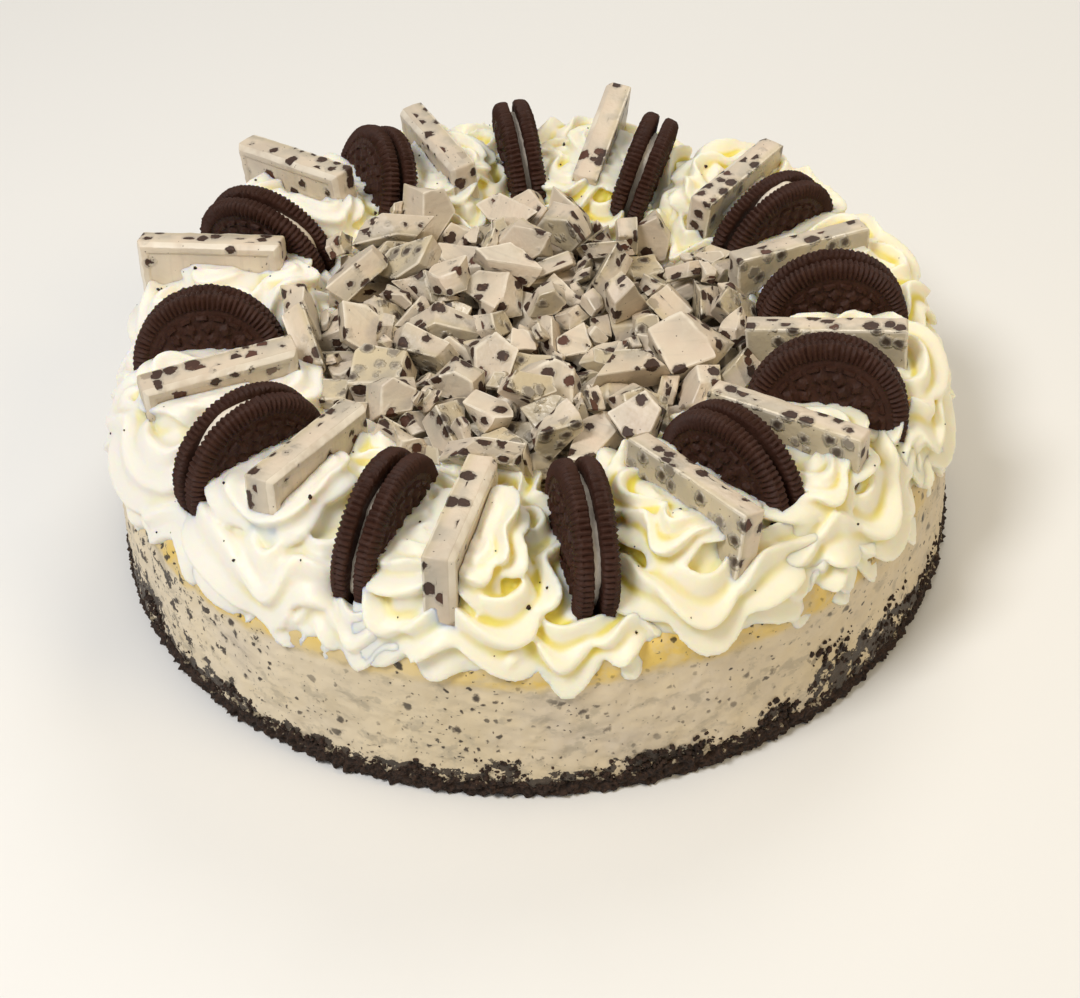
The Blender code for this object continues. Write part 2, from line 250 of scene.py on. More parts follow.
class Shader:
    """A material on a Principled shader."""

    def __init__(self, name, roughness=0.5, **constants):
        self.material = bpy.data.materials.new(name)
        self.material.use_nodes = True
        self.tree = self.material.node_tree
        self.principled = self.tree.nodes["Principled BSDF"]
        self.principled.inputs["Roughness"].default_value = roughness
        for socket, value in constants.items():
            self.principled.inputs[socket.replace("_", " ")].default_value = value

    def node(self, kind, settings=None, inputs=None, output=0):
        """Adds a node, sets it, then its inputs by name or number, and gives one of its outputs."""
        made = self.tree.nodes.new(kind)
        for setting, value in (settings or {}).items():
            setattr(made, setting, value)
        for socket, value in (inputs or {}).items():
            if isinstance(value, Value):
                self.tree.links.new(value.socket, made.inputs[socket])
            else:
                made.inputs[socket].default_value = value
        return Value(self, made.outputs[output])

    def coordinates(self):
        return self.node("ShaderNodeTexCoord", output="Object")

    def attribute(self, name, output="Fac"):
        return self.node("ShaderNodeAttribute", {"attribute_name": name}, output=output)

    def scaled(self, vector, scale):
        return self.node("ShaderNodeMapping", None, {"Vector": vector, "Scale": scale})

    def warped(self, vector, frequency, detail, reach):
        """The vector moved along each axis by 0 to reach metres, by the three channels of a noise."""
        wander = {"Vector": vector, "Scale": frequency, "Detail": detail}
        inputs = {0: self.node("ShaderNodeTexNoise", None, wander, 1), 1: (reach,) * 3, 2: vector}
        return self.node("ShaderNodeVectorMath", {"operation": "MULTIPLY_ADD"}, inputs)

    def noise(self, vector, size, detail=3.0, roughness=0.5, distortion=0.0):
        """Smooth noise about 0.5 whose features are about size metres wide."""
        inputs = {"Vector": vector, "Scale": 0.5 / size, "Detail": detail,
                  "Roughness": roughness, "Distortion": distortion}
        return self.node("ShaderNodeTexNoise", None, inputs)

    def cells(self, vector, size, randomness=1.0, output="Distance"):
        """Distance to the nearest of scattered points about size metres apart, as a share of that size."""
        inputs = {"Vector": vector, "Scale": 1 / size, "Randomness": randomness}
        return self.node("ShaderNodeTexVoronoi", None, inputs, output)

    def split(self, vector):
        made = self.tree.nodes.new("ShaderNodeSeparateXYZ")
        self.tree.links.new(vector.socket, made.inputs[0])
        return [Value(self, socket) for socket in made.outputs]

    def mix(self, factor, first, second):
        """Colour that goes from first to second as factor goes from 0 to 1."""
        inputs = {"Factor": factor, 6: self.colour(first), 7: self.colour(second)}
        return self.node("ShaderNodeMix", {"data_type": "RGBA"}, inputs, output=2)

    @staticmethod
    def colour(value):
        return value if isinstance(value, Value) else (*value, 1)

    def set(self, socket, value):
        target = self.principled.inputs[socket]
        if isinstance(value, Value):
            self.tree.links.new(value.socket, target)
        else:
            target.default_value = value

    def bump(self, height, depth):
        """Relief from a height in units of depth metres."""
        inputs = {"Height": height, "Distance": depth}
        self.set("Normal", self.node("ShaderNodeBump", None, inputs))


def quads(rows, columns):
    """Four-sided faces of a tube of points numbered row by row, each row a closed ring."""
    below, column = np.arange(rows - 1)[:, None] * columns, np.arange(columns)[None, :]
    above, right = below + columns, (column + 1) % columns
    return np.stack([below + column, below + right, above + right, above + column], axis=-1).reshape(-1, 4)


def fan(ring, centre, turned=False):
    """Triangles from each side of a ring of point numbers to a centre point."""
    following = np.roll(ring, -1)
    ends = (following, ring) if turned else (ring, following)
    return np.stack([*ends, np.full(len(ring), centre)], axis=-1)


def tube_faces(rows, columns):
    """Faces of a tube of rings, each end closed by a fan to a point that is numbered after the rings'."""
    first, count = np.arange(columns), rows * columns
    return [quads(rows, columns), fan(first, count, True), fan(first + count - columns, count + 1)]


def capped(grid):
    """Points and faces of a tube given as rows of closed rings, each end closed by a fan to its middle."""
    points = np.concatenate([grid.reshape(-1, 3), grid[:1].mean(1), grid[-1:].mean(1)])
    return points, tube_faces(*grid.shape[:2])


def repeated(points, faces):
    """Points and faces of many copies of one layout of faces, from points of shape (copies, count, 3)."""
    copies, count = points.shape[:2]
    shift = np.arange(copies)[:, None, None] * count
    return points.reshape(-1, 3), [(part[None] + shift).reshape(-1, part.shape[1]) for part in faces]


def make_mesh(name, points, faces):
    """A mesh from an array of points and a list of arrays of faces."""
    mesh = bpy.data.meshes.new(name)
    mesh.vertices.add(len(points))
    mesh.vertices.foreach_set("co", np.asarray(points, np.float32).ravel())
    corners = np.concatenate([part.ravel() for part in faces]).astype(np.int32)
    sides = np.concatenate([np.full(len(part), part.shape[1]) for part in faces])
    mesh.loops.add(len(corners))
    mesh.loops.foreach_set("vertex_index", corners)
    mesh.polygons.add(len(sides))
    mesh.polygons.foreach_set("loop_start", np.concatenate([[0], np.cumsum(sides)[:-1]]).astype(np.int32))
    mesh.update(calc_edges=True)
    mesh.validate()
    return mesh


def add_attribute(mesh, name, values):
    """Stores one number or one vector for each point."""
    kind = "FLOAT" if values.ndim == 1 else "FLOAT_VECTOR"
    field = "value" if values.ndim == 1 else "vector"
    attribute = mesh.attributes.new(name, kind, "POINT")
    attribute.data.foreach_set(field, np.asarray(values, np.float32).ravel())


def add_piece(name, mesh, material, replaced, sharp=None):
    """Puts a mesh into the scene as a piece of the cake that stands for solids of the part."""
    piece = bpy.data.objects.new(name, mesh)
    bpy.context.scene.collection.objects.link(piece)
    mesh.materials.clear()
    mesh.materials.append(material)
    mesh.shade_smooth()
    if sharp:
        mesh.set_sharp_from_angle(angle=math.radians(sharp))
    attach(piece, "root")
    if replaced:
        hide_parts(*replaced)
    return piece


def ripple(points, wavelength, seed, waves=28):
    """Smooth random relief with a spread of about 1: the sum of waves of about one wavelength that run in
    random directions through space."""
    draw = np.random.default_rng(SEED * 1000 + seed)
    heading = unit(draw.normal(size=(waves, 3)))
    pace = 2 * math.pi / (wavelength * draw.uniform(0.75, 1.5, waves))
    phase = draw.uniform(0, 2 * math.pi, waves)
    total = np.zeros(points.shape[:-1])
    for way, rate, start in zip(heading, pace, phase):
        total += np.cos(points @ way * rate + start)
    return total * math.sqrt(2 / waves)


def ripples(points, *layers):
    """The sum of ripples in metres, from the height and the wavelength in mm and the seed of each."""
    return sum(height * MM * ripple(points, wavelength * MM, seed) for height, wavelength, seed in layers)


def polar(radius, angle, height):
    radius, angle, height = np.broadcast_arrays(radius, angle, height)
    return np.stack([radius * np.cos(angle), radius * np.sin(angle), height], axis=-1)


def bell(value, width):
    return np.exp(-(value / width) ** 2)


def degrees_from(angle, place):
    """How many degrees an angle in radians is past a place in degrees, from -180 to 180."""
    return (np.degrees(angle) - place + 180) % 360 - 180


def eased(value, width):
    """The value where it is well over 0, and 0 where it is well under, rounded over about the width."""
    return (value + np.sqrt(value ** 2 + width ** 2)) / 2


def side_radius(height):
    """The baked side draws in evenly from its foot to its top."""
    return CAKE_RADIUS - SIDE_LEAN * height / CAKE_TOP


CRUMB_LIMIT = 14 * MM  # how far under the cake's top the highest loose crumb of the side is
PATCHES = (  # where crumb climbs up the side: place round the cake, width in degrees, height over the edge
    (-134, 4, 6), (-121, 5, 3), (-107, 6, 3), (-95, 2.6, 9), (-88, 5, 3), (-78, 5, 7), (-70, 4, 4),
    (-60, 3, 9), (-51, 4.5, 20), (-45, 3, 13), (-40, 5, 17), (-30, 7, 9), (-10, 6, 10), (12, 7, 5),
    (40, 8, 12), (75, 5, 7), (110, 9, 8), (150, 6, 12), (175, 8, 5), (205, 6, 9),
)

SPECKLED_SIDE = -152.0  # where the filling holds the most crumb, in degrees
SPECKLED_WIDTH = 38.0  # how far to each side it does, in degrees


def crumb_height(angle, edge):
    """Height of the crumb's upper edge at the side: an even edge with waves."""
    circle = polar(CAKE_RADIUS, angle, 0.0)
    height = edge + ripples(circle, (0.9, 26, 1), (0.7, 5, 2), (0.35, 1.8, 15))
    return np.clip(height, BASE_LOW[2] + 4 * MM, FILLING_LOW[2] + 6 * MM)


def crumb_share(points, edge):
    """How much of the baked side's skin is crumb, about 1 just over the base's edge and less above it."""
    angle = np.arctan2(points[..., 1], points[..., 0])
    above = (points[..., 2] - edge) / MM
    share = 0.75 * np.exp(-np.maximum(above, 0) / 1.6)
    share = share + 0.65 * bell(degrees_from(angle, SPECKLED_SIDE), SPECKLED_WIDTH)
    for place, width, climb in PATCHES:
        patch = bell(degrees_from(angle, place), width)
        share = share + 0.95 * patch * (1 - blend(above, 0.45 * climb, 1.15 * climb))
    return np.minimum(share, 0.92)


def tinted(colour, *tints):
    """A colour times one number, or times one for each of its channels."""
    return tuple(np.array(colour) * tints)


def crumb_material(name, colours, smeared=False):
    shader = Shader(name, roughness=0.82, Specular_IOR_Level=0.35)
    place = shader.coordinates()
    grain = shader.noise(place, 0.6 * MM, detail=5, roughness=0.65)
    clump = shader.cells(place, 1.5 * MM)
    dark = tinted(colours.crumb, 0.30)
    light = tinted(colours.crumb, 3.4)
    colour = shader.mix((grain * 2.6 - 0.9).clamped(), dark, light)
    if smeared:
        height = shader.split(place)[2]
        smear = shader.noise(place, 1.5 * MM, detail=5, roughness=0.7)
        smear = (smear + (height - 5 * MM) * 38).step(0.60, 0.66)
        colour = shader.mix(smear * 0.85, colour, tinted(colours.filling, 0.75))
    shader.set("Base Color", colour)
    shader.set("Roughness", 0.62 + 0.3 * grain)
    shader.bump(grain * 1.2 - clump * 0.9, 0.7 * MM)
    return shader.material


class CHEESECAKE_OT_base(bpy.types.Operator):
    """Crumb base: a turned side with a crumbly relief, under the filling"""

    bl_idname = "cheesecake.base"
    bl_label = "Crumb base"

    def execute(self, context):
        sizes, colours = settings(context)
        sides, rows = 1080, 22
        angle = round_angles(sides)
        edge = crumb_height(angle, sizes.crumb_edge)
        share = np.linspace(0, 1, rows)[:, None]
        height = BASE_LOW[2] + 0.4 * MM + share * (edge - 0.4 * MM)
        radius = side_radius(height) + 0.2 * MM - 0.8 * MM * (1 - share) ** 6
        side = polar(radius, angle, height)
        rough = ripples(side, (0.42, 3.2, 3), (0.30, 1.4, 4))
        side = polar(radius + rough * (1 - 0.5 * (share > 0.96)), angle, height)
        foot = polar(CAKE_RADIUS - 1.5 * MM, angle, BASE_LOW[2])
        lip = polar(side_radius(edge) - 1.4 * MM, angle, edge - 0.4 * MM)
        inner = polar(CAKE_RADIUS - SEAM_DEPTH, angle, FILLING_LOW[2] - 0.3 * MM)
        points, faces = capped(np.concatenate([foot[None], side, lip[None], inner[None]]))
        mesh = make_mesh("crumb_base_surface", points, faces)
        material = crumb_material("dark_crumb", colours, True)
        add_piece("crumb_base_surface", mesh, material, ["crumb_base"])
        return {"FINISHED"}


def filling_material(colours):
    shader = Shader("speckled_filling", roughness=0.5)
    place = shader.coordinates()
    across, _, height = shader.split(place)
    around = shader.scaled(place, (1, 1, 1.4))
    soft = shader.noise(around, 9 * MM, detail=4, roughness=0.6)
    fine = shader.noise(place, 1.2 * MM, detail=5, roughness=0.6)
    smear = shader.noise(around, 3.8 * MM, detail=4, roughness=0.62, distortion=0.15)
    pale = tinted(colours.filling, 1.17)
    grey = tinted(colours.filling, 0.60, 0.62, 0.66)
    wide = shader.noise(place, 26 * MM, detail=2)
    cool = tinted(colours.filling, 0.98, 1.02, 1.24)
    # Painted shade: the filling is darker and yellower towards the right, where less and warmer light
    # falls.
    warm = tinted(colours.filling, 0.90, 0.86, 0.68)
    colour = shader.mix(across.step(10 * MM, 120 * MM), colours.filling, warm)
    colour = shader.mix(wide.step(0.42, 0.6) * 0.8, colour, cool)
    # Painted light: paler, bluer patches towards the left, where white light falls.
    cool_lit_filling = tinted(colours.filling, 1.20, 1.27, 1.50)
    left = 1 - across.step(-110 * MM, 0.0)
    colour = shader.mix(left * soft.step(0.30, 0.52), colour, cool_lit_filling)
    colour = shader.mix((soft * 2.2 - 0.6).clamped(), colour, pale)
    colour = shader.mix(smear.step(0.53, 0.66) * 0.55, colour, grey)
    wobble = (soft - 0.5) * 7 * MM + (smear - 0.5) * 2 * MM
    browned = (height + wobble).step(CAKE_TOP - 12.0 * MM, CAKE_TOP - 8.5 * MM)
    half_golden = tuple(0.5 * (a + b) for a, b in zip(colours.golden, colours.filling))
    golden = shader.mix(smear.step(0.44, 0.58), colours.golden, half_golden)
    colour = shader.mix(browned * (0.4 + 0.6 * wide.step(0.4, 0.54)), colour, golden)
    warped = shader.warped(place, 420.0, 3.0, 2.6 * MM)
    specks = 0.0
    for size, limit, share in ((1.7, 0.18, 0.5), (3.2, 0.21, 0.45), (6.5, 0.20, 0.45)):
        distance = shader.cells(warped, size * MM) + (fine - 0.5) * 0.3
        chance = shader.split(shader.cells(warped, size * MM, output="Color"))[0]
        speck = (1 - distance.step(limit * 0.6, limit * 1.25)) * chance.step(share, share + 0.04)
        specks = speck.larger(specks)
    clusters = shader.noise(place, 14 * MM, detail=2).step(0.38, 0.58)
    specks = specks * (0.4 + 0.6 * clusters)
    streak = shader.noise(shader.scaled(place, (1, 1, 4)), 2.6 * MM, detail=4, roughness=0.7)
    specks = specks.larger(streak.step(0.665, 0.70) * 0.85 * clusters)
    clump = shader.noise(place, 2.6 * MM, detail=5, roughness=0.66)
    crumbs = shader.attribute("crumbs")
    crumbs = (clump - (0.78 - 0.36 * crumbs)).step(0.0, 0.03)
    specks = specks.larger(crumbs)
    speck_colour = shader.mix((fine * 3 - 1).clamped(), (0.011, 0.007, 0.005), (0.050, 0.031, 0.022))
    colour = shader.mix(specks * 0.95, colour, speck_colour)
    shader.set("Base Color", colour)
    shader.set("Roughness", 0.42 + 0.25 * fine)
    shader.bump(fine * 0.5 + smear * 0.4 + specks * (0.3 + 1.6 * fine * crumbs), 0.35 * MM)
    return shader.material


class CHEESECAKE_OT_filling(bpy.types.Operator):
    """Baked filling: a turned body with an uneven side and a rounded top edge"""

    bl_idname = "cheesecake.filling"
    bl_label = "Baked filling"

    def execute(self, context):
        sizes, colours = settings(context)
        sides, rows, turns = 900, 48, 12
        angle = round_angles(sides)
        edge = crumb_height(angle, sizes.crumb_edge) - 0.6 * MM
        share = np.linspace(0, 1, rows)[:, None]
        height = edge + share * (CAKE_TOP - EDGE_ROUND - edge)
        side = polar(side_radius(height), angle, height)
        turn = np.linspace(0, math.pi / 2, turns)[1:, None]
        middle = side_radius(CAKE_TOP) - EDGE_ROUND
        shoulder = polar(middle + EDGE_ROUND * np.cos(turn), angle,
                         CAKE_TOP - EDGE_ROUND + EDGE_ROUND * np.sin(turn))
        skin = np.concatenate([side, shoulder])
        relief = ripples(skin, (0.35, 28, 5), (0.16, 6, 6), (0.09, 2.2, 7))
        skin = skin + relief[..., None] * unit(skin - (0, 0, CAKE_TOP / 2)) * (1, 1, 0.4)
        inner = polar(CAKE_RADIUS - SEAM_DEPTH, angle, FILLING_LOW[2] + 0.3 * MM)
        top = [polar(reach * MM, angle, CAKE_TOP) for reach in (105, 80, 40)]
        points, faces = capped(np.concatenate([inner[None], skin, np.array(top)]))
        mesh = make_mesh("baked_filling", points, faces)
        add_attribute(mesh, "crumbs", crumb_share(points, sizes.crumb_edge))
        add_piece("baked_filling", mesh, filling_material(colours), ["cheese_filling"])
        return {"FINISHED"}


SWIRL_TURNS = 2.35
STAR_RIDGES = 7
SWIRL_FLATTEN = 0.80  # how far a rosette reaches round the cake, as a share of its reach outwards
RIM_START = 117 * MM  # how far out cream starts to hang over the cake's rim
RIM_ROUND = 4 * MM
DROOP_IN = 0.16  # how far hanging cream is drawn in and sinks, as shares of how far it is past the start
DROOP_DOWN = 0.55
STAND_OVERLAP = 0.25 * MM  # how far cream reaches into what stands in it


def blend(value, start, end):
    """0 up to start, 1 from end, smooth between them."""
    share = np.clip((value - start) / (end - start), 0, 1)
    return share * share * (3 - 2 * share)


def ruffled_star(size, along, draw, calm=0.0, throw=2.4, pitch=12.5, columns=112):
    """Section of cream from a star nozzle, as outward and upward distances from the nozzle's path.

    It is a circle whose radius has a ridge at each of seven places. The cream came out faster than the
    nozzle moved, so with the length along the path the ridges wave in and out and turn to and fro. Calm
    cream, 1 at most, waves less and has lower ridges. The outer side is thrown further out in each wave,
    and the underside is smoother.
    """
    a, b, c, d = draw.uniform(0, 2 * math.pi, 4)
    phase = math.pi * along / pitch + 0.7 * np.sin(along / 7.5 + a) + 0.4 * np.sin(along / 4.6 + b)
    strength = (0.75 + 0.25 * np.sin(along / 6.0 + c)) * (1 - 0.45 * calm)
    around = round_angles(columns)
    turned = around + 0.45 * np.sin(phase + d)
    wave = strength * (2 * np.abs(np.cos(phase + 0.5 * np.sin(around))) - 1.2)
    ridge = 1 - np.abs(np.sin(STAR_RIDGES * turned / 2)) ** 1.25
    deep = (0.46 - 0.20 * calm) * (0.3 + 0.7 * blend(np.sin(around), -0.9, -0.1))
    radius = size * (1 - deep + deep * ridge * (1 + 0.42 * wave))
    radius = radius + throw * wave * np.clip(np.cos(around), 0, 1)
    return radius * np.cos(around), radius * np.sin(around) - 0.7 * throw * wave


def path_length(path):
    return np.cumsum(np.linalg.norm(np.diff(path, axis=0, prepend=path[:1]), axis=-1), axis=0)


def swirl(draw, calm, steps=300):
    """A rosette's cream in mm round its axis, (steps, columns, 3): a ruffled star carried along a round of
    the rosette's foot that winds inwards and up into a second, smaller one."""
    share = np.linspace(0, 1, steps)[:, None]
    angle = draw.uniform(0, 2 * math.pi) + 2 * math.pi * SWIRL_TURNS * share
    reach = draw.uniform(23.0, 24.5) - 20.0 * blend(share, 0.38, 1.06)
    square = (np.abs(np.cos(angle)) ** 3 + np.abs(np.sin(angle)) ** 3) ** (-1 / 3)
    centre = np.stack([reach * square * np.cos(angle), reach * square * np.sin(angle) * SWIRL_FLATTEN,
                       5.0 + 13.5 * blend(share, 0.28, 0.80)], axis=-1)
    ends = np.sqrt(blend(share, -0.03, 0.03) * blend(1 - share, -0.02, 0.06))
    out, lift = ruffled_star((11.5 - 5.0 * blend(share, 0.45, 1.0)) * ends, path_length(centre), draw, calm)
    return centre + np.stack([out * np.cos(angle), out * np.sin(angle), lift], axis=-1)


def rim_ribbon(draw, calm, size, reach, rise, steps=110):
    """Cream along the cake's rim, in mm from the middle of its length, (steps, columns, 3): a ruffled star
    carried along a short wavy path round the cake."""
    share = np.linspace(0, 1, steps)[:, None]
    y = 40.0 * (share - 0.5)
    centre = np.stack([reach + 1.5 * np.sin(y / 5 + draw.uniform(0, 6)), y, rise + 0 * y], axis=-1)
    ends = np.sqrt(blend(share, -0.02, 0.2) * blend(1 - share, -0.02, 0.2))
    out, lift = ruffled_star(size * ends, path_length(centre), draw, calm, 3.4, 9.5)
    return centre + np.stack([out, 0 * out, lift], axis=-1)


def rosette_core(rows=24, columns=48):
    """The filled middle of a rosette, in mm round its axis: half an egg, flattened round the cake."""
    turn = np.linspace(-0.25, 0.995, rows)[:, None] * math.pi / 2
    around = round_angles(columns)
    wide = np.cos(turn) ** 0.8
    x = 24.0 * wide * np.cos(around)
    y = 26.0 * wide * np.sin(around) * SWIRL_FLATTEN
    z = 21.0 * np.sin(turn) + 0 * around
    return np.stack([x, y, z], axis=-1)


def piped(points, middle, angle):
    """Takes points from a rosette's own place, in mm, to its place on the cake.

    The way round the cake becomes an angle, so that a rosette fans out like a slice of the ring.
    """
    radius = middle + points[..., 0] * MM
    turned = angle + points[..., 1] * MM / middle
    over = eased(radius - RIM_START, RIM_ROUND)
    return polar(radius - DROOP_IN * over, turned, CAKE_TOP + points[..., 2] * MM - DROOP_DOWN * over)


def temporary(name, points, faces):
    obj = bpy.data.objects.new(name, make_mesh(name, points, faces))
    bpy.context.scene.collection.objects.link(obj)
    return obj


def finished_mesh(obj):
    """The object's mesh with its modifiers applied. The object is removed."""
    bpy.context.view_layer.update()
    graph = bpy.context.evaluated_depsgraph_get()
    mesh = bpy.data.meshes.new_from_object(obj.evaluated_get(graph))
    bpy.data.objects.remove(obj)
    return mesh


CLEAR = 30 * MM  # room that is left free over a cookie or a chocolate piece


def box_cutter(placing, grow):
    """A block round a chocolate piece and the room over it, wider than the piece by grow."""
    centre, half, axes = placing
    ring = np.array([(1, -1), (1, 1), (-1, 1), (-1, -1)])
    flat = np.concatenate([ring, np.full((4, 1), -1)], axis=1)
    grid = np.stack([flat, flat * (1, 1, -1)]) * (half + grow)
    grid[1, :, 2] += CLEAR
    return capped(grid @ axes + centre)


def disc_cutter(placing, grow, sides=64):
    """A short cylinder round a whole cookie and the room over it, wider than the cookie by grow."""
    centre, radius, half, axes = placing
    around = round_angles(sides)
    ring = np.stack([np.cos(around) * (radius + grow), np.full(sides, half + grow),
                     np.sin(around) * (radius + grow) + CLEAR * (np.sin(around) > 0)], axis=1)
    return capped(np.stack([ring, ring * (1, -1, 1)]) @ axes + centre)


def pressed(points, slabs):
    """Takes cream down beside what stands in it: by as much as it is over a limit there, and by less the
    further it is from the slab, over about 6 mm."""
    for centre, half, axes, limit in slabs:
        local = (points - centre) @ axes.T
        beyond = np.maximum(np.abs(local[..., :2]) - half[:2], 0) / (5 * MM, 6 * MM)
        over = eased(points[..., 2] - limit, 1.5 * MM)
        points[..., 2] -= over * np.exp(-(beyond ** 2).sum(-1))
    return points


def cookie_placing(cream_node):
    """Middle, radius, half thickness and axes of a whole cookie."""
    stem = cream_node.removesuffix("_cream")
    centre, _, _, axes = disc_placing(cream_node, stem + "_right_wafer")
    outer = node_points(stem + "_left_wafer")
    local = (outer - centre) @ axes.T
    return centre, np.hypot(local[:, 0], local[:, 2]).max(), np.abs(local[:, 1]).max(), axes


def fold_depth(mesh, passes=26):
    """How deep each point lies in a fold, 0 on open surface and 1 in the bottom of a crease.

    Each pass moves every point to the mean of its neighbours. A point in a crease moves outwards along its
    normal, by more the deeper the crease is.
    """
    points = mesh_points(mesh)
    start, end = edge_ends(mesh)
    count = len(points)
    near = np.bincount(start, minlength=count) + np.bincount(end, minlength=count)
    smooth = points
    for _ in range(passes):
        smooth = np.stack([
            np.bincount(start, smooth[end, k], count) + np.bincount(end, smooth[start, k], count)
            for k in range(3)
        ], axis=1) / near[:, None]
    moved = np.einsum("ij,ij->i", smooth - points, mesh_normals(mesh))
    return np.clip(moved / (1.2 * MM), -1, 1)


def without_scraps(mesh, least=0.03):
    """Removes the parts of a mesh that hold less than a small share of its points.

    Each round gives the ends of every edge their lower number, until every part has one number.
    """
    start, end = edge_ends(mesh)
    label, before = np.arange(len(mesh.vertices)), None
    while before is None or (label != before).any():
        before = label.copy()
        low = np.minimum(label[start], label[end])
        np.minimum.at(label, start, low)
        np.minimum.at(label, end, low)
        label = label[label]
    scrap = np.bincount(label)[label] < least * len(label)
    work = bmesh.new()
    work.from_mesh(mesh)
    work.verts.ensure_lookup_table()
    bmesh.ops.delete(work, geom=[work.verts[i] for i in np.flatnonzero(scrap)])
    work.to_mesh(mesh)
    work.free()


def cream_material(colours):
    shader = Shader("soft_cream", roughness=0.42, Subsurface_Weight=0.85,
                    Subsurface_Scale=0.0035, Subsurface_Radius=(1.0, 0.75, 0.32))
    place = shader.coordinates()
    depth = shader.attribute("fold_depth")
    soft = shader.noise(place, 9 * MM, detail=3)
    fine = shader.noise(place, 0.9 * MM, detail=4)
    # Painted shade: yellow shade in the folds, by how deep a point lies in a fold, in patches, and stronger
    # towards the right.
    deep = (depth + (soft - 0.5) * 0.4).step(0.08, 0.65)
    deep = deep * (0.42 + 0.58 * shader.noise(place, 17 * MM, detail=1).step(0.42, 0.58))
    # Painted light: the cream is whiter and bluer towards the left, where white light falls, and yellower
    # towards the right under the warm lamp.
    right = shader.split(place)[0].step(-95 * MM, 15 * MM)
    window_lit_cream = tinted(colours.cream, 0.97, 0.985, 1.09)
    colour = shader.mix(right, window_lit_cream, colours.cream)
    colour = shader.mix(deep * (0.5 + 0.5 * right), colour, colours.cream_fold_shade)
    shader.set("Base Color", colour)
    shader.set("Roughness", 0.36 + 0.2 * fine)
    shader.bump(fine * 0.6 + shader.noise(place, 3 * MM) * 0.8, 0.18 * MM)
    return shader.material


class CHEESECAKE_OT_cream(bpy.types.Operator):
    """Piped cream: twelve rosettes of overlapping folds, hollowed where cookies and chocolate stand"""

    bl_idname = "cheesecake.cream"
    bl_label = "Piped cream"

    def execute(self, context):
        sizes, colours = settings(context)
        material = cream_material(colours)
        bars = [bar_placing(name) for name in BAR_NODES]
        cookies = [cookie_placing(name) for name in COOKIE_CREAM_NODES]
        parts = [box_cutter(bar, -STAND_OVERLAP) for bar in bars]
        parts += [disc_cutter(cookie, -STAND_OVERLAP) for cookie in cookies]
        slabs = [(*bar, bar[0][2] + bar[1][2] - 6 * MM) for bar in bars]
        slabs += [(centre, np.array([radius, half, radius]), axes, centre[2] + 7 * MM)
                  for centre, radius, half, axes in cookies]
        cutters = bpy.data.collections.new("cream_cutters")
        for number, (points, faces) in enumerate(parts):
            cutter = temporary(f"cutter_{number:02d}", points, faces)
            context.scene.collection.objects.unlink(cutter)
            cutters.objects.link(cutter)
        for number, name in enumerate(BAR_NODES, start=1):
            centre = bar_placing(name)[0]
            angle = math.atan2(centre[1], centre[0])
            draw = np.random.default_rng(SEED + number)
            calm = float(blend(-math.cos(angle), 0.2, 0.8)) * 0.9 + 0.3 * draw.uniform(0, 1)
            between = rim_ribbon(draw, calm, draw.uniform(8.0, 9.5), 24.0, 0.5)
            below = rim_ribbon(draw, max(calm, 0.6), draw.uniform(6.0, 7.0), 25.0, -1.8)
            shapes = [capped(piped(shape, sizes.cream_middle, angle + turn))
                      for shape, turn in ((swirl(draw, calm), 0.0), (rosette_core(), 0.0),
                                          (between, math.radians(15)), (below, math.radians(3)))]
            starts = np.cumsum([0] + [len(points) for points, _ in shapes])
            faces = [part + start for (_, parts), start in zip(shapes, starts) for part in parts]
            points = pressed(np.concatenate([points for points, _ in shapes]), slabs)
            rosette = temporary("rosette", points, faces)
            assign(rosette.modifiers.new("joined", "REMESH"), mode="VOXEL", voxel_size=sizes.cream_voxel)
            assign(rosette.modifiers.new("softened", "SMOOTH"), factor=0.5, iterations=5)
            assign(rosette.modifiers.new("hollowed", "BOOLEAN"), operation="DIFFERENCE",
                   operand_type="COLLECTION", collection=cutters, solver="MANIFOLD")
            mesh = finished_mesh(rosette)
            without_scraps(mesh)
            add_attribute(mesh, "fold_depth", fold_depth(mesh))
            add_piece(f"piped_rosette_{number:02d}", mesh, material, ["whipped_cream"])
        for cutter in list(cutters.objects):
            bpy.data.objects.remove(cutter)
        bpy.data.collections.remove(cutters)
        return {"FINISHED"}


